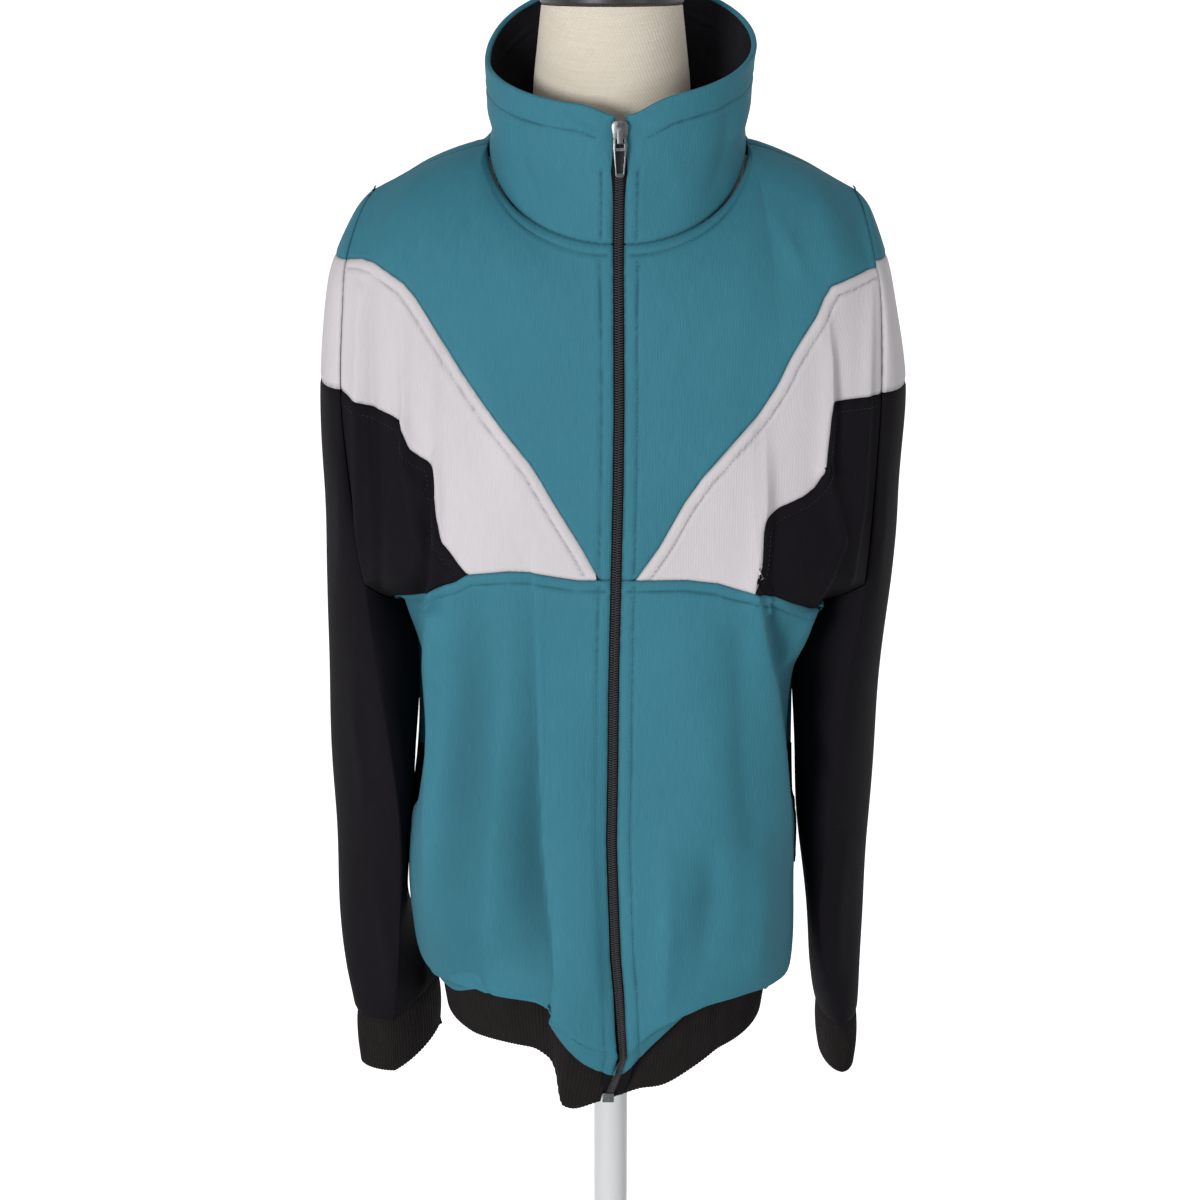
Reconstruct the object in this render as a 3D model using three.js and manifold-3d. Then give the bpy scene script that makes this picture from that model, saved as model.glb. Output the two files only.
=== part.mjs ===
// Track jacket with a stand collar, zipped up, on a limbless dress form.
// Millimetres, +Z up. Origin: centre of the base's underside, on the floor.
// The wearer faces -Y, so the wearer's left is +X. Sides in names are the wearer's.
import * as THREE from "three";
import Module from "manifold-3d";

const wasm = await Module();
wasm.setup();

// Driving dimensions
const clothWall = 1.6;
const ribWall = 2.2;
const seamGap = 0.3;
const zipOpening = 3.7;
const bandHeight = 56;
const backHem = 712;
const backFold = 744;
const shoulderY = 5;
const neckHalf = { left: 92, right: 84 };
const neckFront = -75;
const neckBack = 75;
const neckFrontZ = 1283;
const neckSideZ = 1342;
const neckBackZ = 1368;
const shoulderDrop = 30;
const neckShare = 0.52;
const shoulderRoll = 13;
const rimHalf = { left: 98, right: 86 };
const rimSideZ = { left: 1409, right: 1398 };
const rimFront = -72;
const rimBack = 80;
const rimFrontZ = { left: 1376, right: 1371 };
const rimCorner = { left: 11, right: 6 };
const rimCornerWidth = { left: 22, right: 12 };
const rimBackZ = 1447;
const pocketTop = 915;
const pocketBottom = 826;
const formBottom = 790;
const formTop = 1348;
const capBottom = 1435;
const capHeight = 18;
const poleRadius = 12.5;
const baseRadius = 170;
const baseHeight = 20;

const colours = {
  teal: 0x3a7f8e,
  pale: 0xcfcbd2,
  black: 0x26222a,
  rib: 0x2e2926,
  zip: 0x1b1a1c,
  metal: 0xb9b4ab,
  linen: 0xcfc5b0,
  cap: 0x1d1b1c,
  stand: 0xd9dbdd
};

// A table is a list of rows that share one line of column names.
function table(names, ...rows) {
  return rows.map((row) => Object.fromEntries(names.map((name, i) => [name, row[i]])));
}

// Value of a column at row number t, on a smooth curve through the rows.
function smoothAt(rows, name, t) {
  const last = rows.length - 1;
  const i = Math.min(Math.max(Math.floor(t), 0), last - 1);
  const f = Math.min(Math.max(t - i, 0), 1);
  const p1 = rows[i][name];
  const p2 = rows[i + 1][name];
  const p0 = rows[Math.max(i - 1, 0)][name];
  const p3 = rows[Math.min(i + 2, last)][name];
  const m1 = (p2 - p0) / 2;
  const m2 = (p3 - p1) / 2;
  const f2 = f * f;
  const f3 = f2 * f;
  return p1 * (2 * f3 - 3 * f2 + 1) + m1 * (f3 - 2 * f2 + f) + p2 * (3 * f2 - 2 * f3) + m2 * (f3 - f2);
}

// Straight-line value of a column, looked up by another column that rises.
function lookUp(rows, key, value, name) {
  if (value <= rows[0][key]) return rows[0][name];
  for (let i = 1; i < rows.length; i += 1) {
    if (value <= rows[i][key]) {
      const share = (value - rows[i - 1][key]) / (rows[i][key] - rows[i - 1][key]);
      return rows[i - 1][name] + share * (rows[i][name] - rows[i - 1][name]);
    }
  }
  return rows[rows.length - 1][name];
}

const mix = (a, b, share) => a + (b - a) * share;
const clamp = (t, low, high) => Math.min(Math.max(t, low), high);
const clamp01 = (t) => clamp(t, 0, 1);
const ease = (t) => clamp01(t) ** 2 * (3 - 2 * clamp01(t));
const radians = (degrees) => degrees * Math.PI / 180;
const signOf = { left: 1, right: -1 };

// Body sections from the hem seam (row 0) to the neck and shoulder line (row 15).
// half: distance of the side from the middle. End angles say how far round the section turns.
const bodyRows = table(
  ["frontZ", "frontY", "backZ", "backY", "halfLeft", "sideZLeft", "halfRight", "sideZRight",
    "sideY", "frontSquare", "frontEnd", "backSquare", "backEnd", "topShare"],
  [744, -117, 768, 108, 112, 773, 123, 773, -2, 2.3, 90, 2.3, 90, 0],
  [712, -127, 744, 118, 115, 727, 128, 762, -2, 2.4, 90, 2.4, 90, 0],
  [730, -133, 760, 126, 125, 741, 138, 778, -1, 2.6, 90, 2.5, 90, 0],
  [775, -136, 790, 129, 132.5, 778, 145.5, 807, 0, 2.8, 90, 2.6, 90, 0],
  [846, -135, 846, 125, 131.5, 842, 146.5, 846, 0, 3.0, 90, 2.6, 90, 0],
  [932, -131, 932, 118, 130, 930, 138.5, 932, 0, 3.1, 90, 2.5, 90, 0],
  [995, -128, 995, 113, 131.5, 990, 140, 990, 0, 3.1, 90, 2.5, 90, 0],
  [1040, -126.5, 1040, 112, 0, 0, 0, 0, 0, 3.0, 88, 2.5, 88, 0],
  [1063, -125, 1063, 112, 0, 0, 0, 0, 0, 2.8, 80, 2.4, 80, 0],
  [1086, -122, 1088, 113, 0, 0, 0, 0, 0, 2.6, 72, 2.3, 72, 0],
  [1126, -115, 1130, 114, 0, 0, 0, 0, 0, 2.4, 66, 2.2, 66, 0],
  [1178, -103.5, 1190, 113, 0, 0, 0, 0, 0, 2.3, 62, 2.2, 62, 0],
  [1224, -92, 1250, 107, 0, 0, 0, 0, 0, 2.2, 62, 2.2, 62, 0.15],
  [1248, -85.5, 1290, 99, 0, 0, 0, 0, 0, 2.2, 62, 2.2, 62, 0.48],
  [1268, -80, 1330, 88, 0, 0, 0, 0, 0, 2.2, 62, 2.2, 62, 0.8],
  [1283, -75, 1368, 75, 0, 0, 0, 0, 0, 2.2, 62, 2.2, 62, 1]
);
const underarmRow = 7;
const creaseRow = 9;
const topRow = 15;

// Hem of the front, by share of the way from the zip to the side seam.
// hem: lower edge of the band; fold: lowest point of the cloth that hangs over the band.
const hemRows = table(
  ["share", "hemLeft", "foldLeft", "forwardLeft", "hemRight", "foldRight", "forwardRight"],
  [0, 690, 712, 0, 688, 712, 2],
  [0.1, 697, 731, 1, 683, 724, 7],
  [0.17, 697, 743, 2, 686, 742, 9],
  [0.21, 698, 750, 2, 712, 757, -3],
  [0.3, 704, 762, 0, 720, 765, -4],
  [0.45, 714, 765, -1, 719, 764, -2],
  [0.6, 715, 757, 0, 717, 753, 0],
  [0.8, 716, 739, 0, 717, 751, 0],
  [1, 717, 727, 0, 717, 762, 0]
);

// Sleeve sections from the shoulder tip (row 0) to the cuff seam (row 12), half widths as for the body.
// front: the front crease, which is the armhole seam down to row 6; inner: the side next to the body.
const sleeveNames = ["z", "frontX", "frontY", "outerX", "outerY", "backX", "backY",
  "innerX", "innerY", "innerZ", "crease"];
const sleeveRows = {
  left: table(
    sleeveNames,
    [1312, 166, 5, 166, 5, 166, 5, 0, 0, 0, 1],
    [1298, 172, -14, 178, 5, 171, 24, 0, 0, 0, 1],
    [1270, 177.5, -38, 188.5, 3, 177, 46, 0, 0, 0, 1],
    [1242, 181, -52, 194.5, 3, 180, 60, 0, 0, 0, 1],
    [1176, 182, -63, 204, 3, 181, 74, 0, 0, 0, 1],
    [1100, 179, -60, 202, 4, 179, 76, 0, 0, 0, 1.1],
    [1046, 175, -55, 198.5, 5, 174, 70, 144, -4, 1026, 1.25],
    [986, 166, -58, 194.5, 5, 170, 72, 138, 6, 986, 1.45],
    [900, 155.5, -57, 189.5, 5, 165, 68, 135.5, 8, 900, 1.5],
    [850, 152, -54, 187.5, 5, 161, 62, 138, 8, 850, 1.5],
    [790, 150, -51, 186, 3, 160, 56, 144, 8, 790, 1.5],
    [745, 159, -49, 183.5, -2, 163, 49, 147.5, 5, 745, 1.4],
    [713, 167, -47, 182, -6, 167, 42, 152, 2, 713, 1.3]
  ),
  right: table(
    sleeveNames,
    [1312, 162, 5, 162, 5, 162, 5, 0, 0, 0, 1],
    [1298, 171, -14, 176, 5, 170, 24, 0, 0, 0, 1],
    [1270, 179, -38, 189.5, 3, 178, 46, 0, 0, 0, 1],
    [1242, 181, -52, 196.5, 3, 180, 60, 0, 0, 0, 1],
    [1176, 183, -63, 202, 3, 181, 74, 0, 0, 0, 1],
    [1100, 177, -60, 201.5, 4, 177, 76, 0, 0, 0, 1.1],
    [1046, 170.5, -55, 202, 5, 171, 70, 147, -4, 1026, 1.25],
    [986, 163.5, -58, 203, 5, 172, 72, 145.5, 6, 986, 1.45],
    [900, 152, -58, 202.5, 5, 168, 68, 147.8, 10, 900, 1.5],
    [850, 149.5, -56, 201.5, 5, 163, 63, 151.5, 14, 850, 1.5],
    [790, 151.5, -53, 199.5, 2, 160, 56, 151.5, 22, 790, 1.5],
    [745, 155, -44, 195, -4, 152, 46, 137, 28, 748, 1.4],
    [713, 159, -38, 188.5, -9, 150, 36, 128.5, 25, 725, 1.3]
  )
};
const sleeveEnd = 12;
// Above this row the sleeve has no inner side: it is open to the body through the armhole.
const splitRow = 6;
const cuffGap = 0.85;
const cuffNames = ["frontX", "frontY", "outerX", "outerY", "backX", "backY", "innerX", "innerY", "drop"];
const cuffEnd = {
  left: table(cuffNames, [169, -45, 180, -8, 167, 35, 155, 0, 38])[0],
  right: table(cuffNames, [159, -36, 186, -10, 152, 29, 128, 22, 41])[0]
};

// Middle line of the zip, from the hem to the collar's rim.
const zipRows = table(
  ["z", "x", "y"],
  [686, -4.5, -116.5],
  [702, 1.5, -122],
  [724, 8, -129.5],
  [745, 7, -133],
  [775, 5, -136],
  [805, 2.5, -136],
  [842, 1.2, -135],
  [885, -0.2, -133],
  [932, 0.6, -131],
  [1000, 1.2, -128],
  [1063, 2.6, -125],
  [1126, 4, -115],
  [1178, 4.6, -103.5],
  [1224, 4.4, -92],
  [1283, 4.2, -75],
  [1330, 4.6, -74.5],
  [1366, 5.2, -72]
);

// Seams across the front, as heights by share of the way from the zip to the side or armhole.
const seamNames = ["share", "z"];
const seamRows = {
  left: {
    yoke: table(seamNames, [0, 1067], [0.2, 1067], [0.3, 1064], [0.365, 1059], [0.42, 1056], [0.49, 1051],
      [0.57, 1043], [0.65, 1036], [0.85, 1032], [1, 1030]),
    chevronTop: table(seamNames, [0.05, 1066], [0.12, 1091], [0.19, 1117], [0.25, 1134], [0.35, 1156],
      [0.43, 1173], [0.505, 1193], [0.55, 1211], [0.6, 1221], [0.66, 1233], [0.7, 1247], [0.74, 1254],
      [0.945, 1263], [1, 1264]),
    chevronBottom: table(seamNames, [0.418, 1057], [0.437, 1100], [0.458, 1106], [0.505, 1112], [0.593, 1118],
      [0.643, 1123], [0.675, 1136], [0.69, 1162], [0.7, 1178], [0.785, 1180], [1, 1181])
  },
  right: {
    yoke: table(seamNames, [0, 1067], [0.1, 1067], [0.25, 1072], [0.31, 1072], [0.435, 1068], [0.475, 1062],
      [0.565, 1056], [0.6, 1044], [0.75, 1040], [0.9, 1034], [1, 1030]),
    chevronTop: table(seamNames, [0.04, 1067], [0.09, 1088], [0.17, 1114], [0.247, 1141], [0.347, 1167],
      [0.43, 1190], [0.515, 1213], [0.607, 1236], [0.655, 1247], [0.71, 1256], [0.775, 1262], [0.85, 1268],
      [0.92, 1270], [1, 1269]),
    chevronBottom: table(seamNames, [0.435, 1068], [0.475, 1078], [0.525, 1089], [0.545, 1110], [0.56, 1139],
      [0.605, 1144], [0.64, 1149], [0.67, 1166], [0.73, 1171], [0.82, 1175], [0.915, 1178], [1, 1184])
  }
};
const chevronStart = 0.06;
const sideStart = { left: 0.419, right: 0.44 };

// The largest folds: a ridge (positive height) or trough from one place to another.
// share and row give the place on the front; back folds have shares on the back.
const foldRows = table(
  ["part", "share0", "row0", "share1", "row1", "width", "height"],
  ["frontRight", 0.3, 7.6, 0.26, 1.6, 0.09, -7],
  ["frontRight", 0.19, 8, 0.14, 1.2, 0.05, 4],
  ["frontRight", 0.56, 7.2, 0.5, 1.8, 0.06, 4],
  ["frontRight", 0.72, 13, 0.66, 7.4, 0.05, 4],
  ["frontRight", 0.85, 12.6, 0.82, 8.2, 0.04, -4],
  ["frontLeft", 0.36, 4.6, 0.33, 1.2, 0.06, -6],
  ["frontLeft", 0.26, 5, 0.22, 1.2, 0.04, 3],
  ["frontLeft", 0.62, 13, 0.6, 7.6, 0.05, 4],
  ["frontLeft", 0.8, 12.4, 0.78, 8.4, 0.05, -4],
  ["backLeft", 0.45, 11, 0.38, 2, 0.08, 5],
  ["backRight", 0.5, 11.6, 0.42, 2, 0.08, 5],
  ["backRight", 0.12, 8, 0.15, 2, 0.07, -5]
);

// The sleeve: four lines run down it, and each section is made of quarter ovals between them.
function sleeveLine(side, line, row) {
  const rows = sleeveRows[side];
  const inner = line === "inner";
  const used = inner ? rows.slice(splitRow) : rows;
  const at = inner ? Math.max(row - splitRow, 0) : row;
  const x = smoothAt(used, `${line}X`, at);
  const y = smoothAt(used, `${line}Y`, at);
  return new THREE.Vector3(signOf[side] * x, y, smoothAt(used, inner ? "innerZ" : "z", at));
}

// Oval from the front line to the back line, through the outer or the inner line.
function ovalBetween(front, through, back, share, crease) {
  const depth = back.y - front.y;
  const f = Math.abs(depth) > 0.001 ? (through.y - front.y) / depth : 0.5;
  const middle = front.clone().lerp(back, f);
  const angle = share * Math.PI;
  const along = Math.cos(angle);
  const out = Math.max(Math.sin(angle), 0) ** (share < 0.5 ? crease : mix(1, crease, 0.4));
  const end = along > 0 ? front : back;
  const point = middle.clone();
  point.addScaledVector(end.clone().sub(middle), Math.abs(along));
  point.addScaledVector(through.clone().sub(middle), out);
  return point;
}

function sleeveOuter(side, share, row) {
  const crease = smoothAt(sleeveRows[side], "crease", row);
  const [front, outer, back] = ["front", "outer", "back"].map((line) => sleeveLine(side, line, row));
  return ovalBetween(front, outer, back, share, crease);
}

function sleeveInner(side, share, row) {
  const crease = smoothAt(sleeveRows[side], "crease", row);
  const [front, inner, back] = ["front", "inner", "back"].map((line) => sleeveLine(side, line, row));
  return ovalBetween(front, inner, back, share, crease);
}

// Edge of the body beside the sleeve: the side seam up to the underarm, then the armhole.
function sidePoint(side, part, row) {
  if (row <= underarmRow) {
    const key = side === "left" ? "Left" : "Right";
    const rows = bodyRows.slice(0, underarmRow + 1).map((r) => ({ ...r }));
    const underarm = sleeveLine(side, "inner", splitRow);
    rows[underarmRow].halfLeft = Math.abs(underarm.x);
    rows[underarmRow].halfRight = Math.abs(underarm.x);
    rows[underarmRow].sideZLeft = underarm.z;
    rows[underarmRow].sideZRight = underarm.z;
    rows[underarmRow].sideY = underarm.y;
    const x = signOf[side] * smoothAt(rows, `half${key}`, row);
    return new THREE.Vector3(x, smoothAt(rows, "sideY", row), smoothAt(rows, `sideZ${key}`, row));
  }
  if (row < creaseRow) {
    const quarter = (creaseRow - row) / (creaseRow - underarmRow) / 2;
    return sleeveInner(side, part === "front" ? quarter : 1 - quarter, splitRow);
  }
  return sleeveLine(side, part, topRow - row);
}

// The neck seam from the middle round to the shoulder, then the shoulder line out to its tip.
function topLine(side, part, share) {
  const s = signOf[side];
  const half = neckHalf[side];
  const middleX = part === "front" ? zipAt(neckFrontZ).x + s * zipOpening : 1;
  if (share <= neckShare) {
    const angle = share / neckShare * Math.PI / 2;
    const depth = part === "front" ? neckFront : neckBack;
    const lowZ = part === "front" ? neckFrontZ : neckBackZ;
    const x = middleX + (s * half - middleX) * Math.sin(angle);
    return new THREE.Vector3(
      x,
      shoulderY + (depth - shoulderY) * Math.cos(angle),
      neckSideZ + (lowZ - neckSideZ) * Math.cos(angle)
    );
  }
  const t = (share - neckShare) / (1 - neckShare);
  const tip = sleeveLine(side, "front", 0);
  return new THREE.Vector3(mix(s * half, tip.x, t), shoulderY, shoulderZ(t));
}

function shoulderZ(t) {
  return neckSideZ - shoulderDrop * t ** 1.35;
}

function zipAt(z) {
  return { x: lookUp(zipRows, "z", z, "x"), y: lookUp(zipRows, "z", z, "y") };
}

// Height of the hem lines round the body, by share from the middle to the side.
function hemAt(side, part, share, name) {
  const key = side === "left" ? "Left" : "Right";
  const atSide = lookUp(hemRows, "share", 1, name + key);
  if (part === "front") return lookUp(hemRows, "share", share, name + key);
  if (name === "forward") return 0;
  return mix(name === "hem" ? backHem : backFold, atSide, ease(share));
}

function foldOut(side, part, share, row) {
  const where = part + (side === "left" ? "Left" : "Right");
  let out = 0;
  for (const fold of foldRows) {
    if (fold.part !== where) continue;
    const t = (row - fold.row0) / (fold.row1 - fold.row0);
    if (t <= 0 || t >= 1) continue;
    const away = (share - mix(fold.share0, fold.share1, t)) / fold.width;
    out += fold.height * Math.exp(-away * away) * Math.sin(Math.PI * Math.sqrt(t));
  }
  return out * ease(share / 0.06) * ease((1 - share) / 0.08) * ease(row / 1.5);
}

// A point of the body's outside. share runs from the middle to the side, row up the table.
function bodyBase(side, part, share, row) {
  const s = signOf[side];
  const edge = sidePoint(side, part, row);
  const middleZ = smoothAt(bodyRows, `${part}Z`, row);
  const middleY = smoothAt(bodyRows, `${part}Y`, row);
  const middleX = part === "front" ? zipAt(middleZ).x + s * zipOpening : 1;
  const square = smoothAt(bodyRows, `${part}Square`, row);
  const end = radians(smoothAt(bodyRows, `${part}End`, row));
  const round = (turn) => (Math.sin(turn) ** square + Math.abs(Math.cos(turn)) ** square) ** (-1 / square);
  const angle = share * end;
  const across = Math.sin(angle) * round(angle) / (Math.sin(end) * round(end));
  const low = Math.cos(end) * round(end);
  const depth = (Math.cos(angle) * round(angle) - low) / (1 - low);
  const point = new THREE.Vector3(
    mix(middleX, edge.x, across),
    mix(edge.y, middleY, depth),
    mix(middleZ, edge.z, share * share)
  );
  if (row < 3) {
    const hang = [
      hemAt(side, part, share, "hem") + bandHeight,
      hemAt(side, part, share, "fold"),
      hemAt(side, part, share, "fold") + 17,
      point.z
    ];
    const i = Math.min(Math.floor(row), 2);
    point.z = mix(hang[i], hang[i + 1], row - i);
  }
  if (row < 6 && part === "front") {
    point.y -= hemAt(side, part, share, "forward") * (1 - ease((row - 1) / 5));
  }
  const topShare = clamp01(smoothAt(bodyRows, "topShare", row));
  if (row > 11 && topShare > 0) {
    const top = topLine(side, part, share);
    const out = clamp01((share - neckShare) / (1 - neckShare)) ** 1.5;
    const inward = clamp01(1 - share / neckShare) ** 1.5;
    top.addScaledVector(edge.clone().sub(topLine(side, part, 1)), out);
    top.addScaledVector(new THREE.Vector3(middleX, middleY, middleZ).sub(topLine(side, part, 0)), inward);
    point.lerp(top, topShare);
    const fade = ease(share / neckShare) * ease((1 - share) / 0.25);
    const roll = shoulderRoll * Math.sin(Math.PI * topShare) * fade;
    point.y += (part === "front" ? -1 : 1) * roll * 0.7;
    point.z += roll * 0.7;
  }
  return point;
}

function outwardBy(at, flip, a, b, stepA, stepB) {
  const da = at(a + stepA, b).sub(at(a - stepA, b));
  const db = at(a, b + stepB).sub(at(a, b - stepB));
  return da.cross(db).multiplyScalar(flip).normalize();
}

function bodyOutward(side, part, share, row) {
  const flip = signOf[side] * (part === "front" ? 1 : -1);
  const a = Math.min(Math.max(share, 0.004), 0.996);
  const b = Math.min(Math.max(row, 0.02), topRow - 0.06);
  return outwardBy((p, q) => bodyBase(side, part, p, q), flip, a, b, 0.003, 0.015);
}

function bodyPoint(side, part, share, row) {
  const point = bodyBase(side, part, share, row);
  const out = foldOut(side, part, share, row);
  if (Math.abs(out) > 0.01) point.addScaledVector(bodyOutward(side, part, share, row), out);
  return point;
}

function sleeveOutward(side, face, share, row) {
  const flip = signOf[side] * (face === "outer" ? -1 : 1);
  const at = face === "outer" ? sleeveOuter : sleeveInner;
  const a = Math.min(Math.max(share, 0.02), 0.98);
  const b = Math.min(Math.max(row, face === "outer" ? 0.3 : 6.05), sleeveEnd - 0.03);
  return outwardBy((p, q) => at(side, p, q), flip, a, b, 0.01, 0.02);
}

// Direction out of the cloth at the armhole, shared by the body's edge and the sleeve's.
function armholeOutward(side, part, row) {
  const body = bodyOutward(side, part, 1, row);
  const sleeve = sleeveOutward(side, "outer", part === "front" ? 0 : 1, topRow - row);
  return body.add(sleeve).normalize();
}

// A surface is a list of corner points, each with the way out of the cloth, and triangles.
function newSurface() {
  return { points: [], outward: [], triangles: [], index: new Map() };
}

function addCorner(surface, point, outward) {
  const key = [point.x, point.y, point.z].map((v) => Math.round(v * 2000)).join(",");
  if (!surface.index.has(key)) {
    surface.index.set(key, surface.points.length);
    surface.points.push(point);
    surface.outward.push(outward.clone());
  } else {
    surface.outward[surface.index.get(key)].add(outward);
  }
  return surface.index.get(key);
}

// How far a triangle's face looks out of the cloth.
function facing(surface, [a, b, c]) {
  const [p, q, r] = [a, b, c].map((i) => surface.points[i]);
  const face = q.clone().sub(p).cross(r.clone().sub(p));
  const out = new THREE.Vector3();
  for (const i of [a, b, c]) out.add(surface.outward[i]);
  return face.dot(out.normalize());
}

// A grid of corners: at(i, j) gives the point and the way out.
function addGrid(surface, rowCount, columnCount, at) {
  const grid = [];
  for (let i = 0; i <= rowCount; i += 1) {
    grid.push([]);
    for (let j = 0; j <= columnCount; j += 1) {
      const { point, outward } = at(i, j);
      grid[i].push(addCorner(surface, point, outward));
    }
  }
  const triangles = [];
  for (let i = 0; i < rowCount; i += 1) {
    for (let j = 0; j < columnCount; j += 1) {
      triangles.push([grid[i][j], grid[i + 1][j], grid[i + 1][j + 1]]);
      triangles.push([grid[i][j], grid[i + 1][j + 1], grid[i][j + 1]]);
    }
  }
  const whole = triangles.filter(([a, b, c]) => a !== b && b !== c && a !== c);
  const looks = whole.reduce((sum, triangle) => sum + facing(surface, triangle), 0);
  for (const [a, b, c] of whole) surface.triangles.push(looks >= 0 ? [a, b, c] : [a, c, b]);
}

// Gives a surface its thickness, inwards, and closes its edges.
function wallOf(surface, thickness, start = 0) {
  const count = surface.points.length;
  const corners = [];
  for (const depth of [start, start + thickness]) {
    surface.points.forEach((point, i) => {
      const out = surface.outward[i].clone().normalize();
      corners.push(point.clone().addScaledVector(out, -depth));
    });
  }
  const faces = [];
  const edges = new Map();
  for (const [a, b, c] of surface.triangles) {
    faces.push([a, b, c], [a + count, c + count, b + count]);
    for (const [p, q] of [[a, b], [b, c], [c, a]]) {
      if (edges.has(`${q},${p}`)) edges.delete(`${q},${p}`);
      else edges.set(`${p},${q}`, [p, q]);
    }
  }
  for (const [p, q] of edges.values()) {
    faces.push([q, p, p + count], [q, p + count, q + count]);
  }
  return geometryOf(corners, faces);
}

function geometryOf(corners, faces) {
  const geometry = new THREE.BufferGeometry();
  const flat = corners.flatMap((p) => [p.x, p.y, p.z]);
  geometry.setAttribute("position", new THREE.Float32BufferAttribute(flat, 3));
  geometry.setIndex(faces.flat());
  geometry.computeVertexNormals();
  return geometry;
}

const jacket = new THREE.Group();
jacket.name = "track_jacket_on_form";

function addPiece(parent, name, geometry, colour, roughness = 0.9, metalness = 0) {
  const material = new THREE.MeshStandardMaterial({ color: colour, roughness, metalness });
  const mesh = new THREE.Mesh(geometry, material);
  mesh.name = name;
  parent.add(mesh);
  return mesh;
}

// Row number at which a column of the body reaches a height, looking up from the overhang.
function rowAtHeight(side, part, share, z) {
  let low = 2.6;
  let high = topRow;
  for (let i = 0; i < 26; i += 1) {
    const middle = (low + high) / 2;
    if (bodyBase(side, part, share, middle).z < z) low = middle;
    else high = middle;
  }
  return (low + high) / 2;
}

// Corner of the body's cloth, with its way out; shared with the sleeve at the armhole.
function bodyCorner(side, part, share, row) {
  const nearEdge = share > 0.99 && row >= creaseRow;
  const nearShoulder = row > topRow - 0.03 && share > neckShare + 0.01;
  let outward = bodyOutward(side, part, share, row);
  if (nearEdge) outward = armholeOutward(side, part, Math.min(row, topRow - 0.3));
  if (nearShoulder) {
    const other = part === "front" ? "back" : "front";
    outward = outward.clone().add(bodyOutward(side, other, share, row)).normalize();
  }
  return { point: bodyPoint(side, part, share, row), outward };
}

// Columns of a panel, closer together where the cloth turns at the side.
const armholeInset = 0.0032;
const seamInset = 0.0032;
const shoulderInset = 0.014;

// Rows of corners up the lower front, close together where the cloth hangs over the band.
const lowerLevels = [0, 0.5, 1, 1.5, 2.2, 3, 4, 5, 6, 6.8];

// Columns shared by all panels of the front, so that their seams run side by side.
const columnShares = {
  left: [0, chevronStart, 0.12, 0.2, 0.28, 0.35, sideStart.left, 0.44, 0.5, 0.58, 0.645, 0.69, 0.7, 0.79,
    0.87, 0.94, 1 - armholeInset],
  right: [0, chevronStart, 0.12, 0.2, 0.28, 0.36, sideStart.right, 0.5, 0.545, 0.56, 0.61, 0.66, 0.73, 0.82,
    0.88, 0.94, 1 - armholeInset]
};

// One panel of the front between two seams; each seam is a row number by share.
function panel(side, fromShare, rows, lowRow, highRow) {
  const surface = newSurface();
  const shares = columnShares[side].filter((share) => share >= fromShare);
  addGrid(surface, rows, shares.length - 1, (i, j) => {
    const row = mix(lowRow(shares[j]), highRow(shares[j]), i / rows);
    return bodyCorner(side, "front", shares[j], row);
  });
  return surface;
}

function seamRow(side, name, share) {
  return rowAtHeight(side, "front", share, lookUp(seamRows[side][name], "share", share, "z"));
}

// Share of a row that moves an edge by half the seam gap, up or down the cloth.
function halfGap(side, share, row) {
  const nudge = 0.02;
  const above = bodyBase(side, "front", share, row + nudge);
  const below = bodyBase(side, "front", share, row - nudge);
  const underarmRoom = mix(0.65, 2.2, ease((share - 0.7) / 0.15));
  return underarmRoom * seamGap * 2 * nudge / above.distanceTo(below);
}

for (const side of ["left", "right"]) {
  const fronts = new THREE.Group();
  const above = (share, row) => row + halfGap(side, share, row);
  const below = (share, row) => row - halfGap(side, share, row);
  const yoke = (share) => seamRow(side, "yoke", share);
  const top = (share) => seamRow(side, "chevronTop", share);
  const bottom = (share) => seamRow(side, "chevronBottom", share);
  const shares = columnShares[side];
  const lower = newSurface();
  addGrid(lower, lowerLevels.length, shares.length - 1, (i, j) => {
    const share = shares[j];
    const row = i < lowerLevels.length ? lowerLevels[i] : below(share, yoke(share));
    return bodyCorner(side, "front", share, row);
  });
  addPiece(fronts, `front_lower_${side}`, wallOf(lower, clothWall), colours.teal);
  const chevron = panel(side, chevronStart, 5,
    (u) => above(u, Math.max(yoke(u), u >= sideStart[side] ? bottom(u) : 0)), (u) => below(u, top(u)));
  addPiece(fronts, `front_chevron_${side}`, wallOf(chevron, clothWall), colours.pale);
  const sidePanel = panel(side, sideStart[side], 4, (u) => above(u, yoke(u)), (u) => below(u, bottom(u)));
  addPiece(fronts, `front_side_${side}`, wallOf(sidePanel, clothWall), colours.black);
  const yokePanel = panel(side, 0, 7,
    (u) => above(u, Math.max(yoke(u), top(u))), () => topRow - shoulderInset);
  addPiece(fronts, `front_yoke_${side}`, wallOf(yokePanel, clothWall), colours.teal);
  jacket.add(fronts);
}

// Back, one piece from side to side.
{
  const surface = newSurface();
  for (const side of ["left", "right"]) {
    const levels = [...lowerLevels, 7.6, 8.3, 9, 10, 11, 12, 13, 14, topRow - shoulderInset];
    addGrid(surface, levels.length - 1, 9, (i, j) => {
      return bodyCorner(side, "back", mix(0, 1 - armholeInset, j / 9), levels[i]);
    });
  }
  addPiece(jacket, "back", wallOf(surface, clothWall), colours.teal);
}

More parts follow.
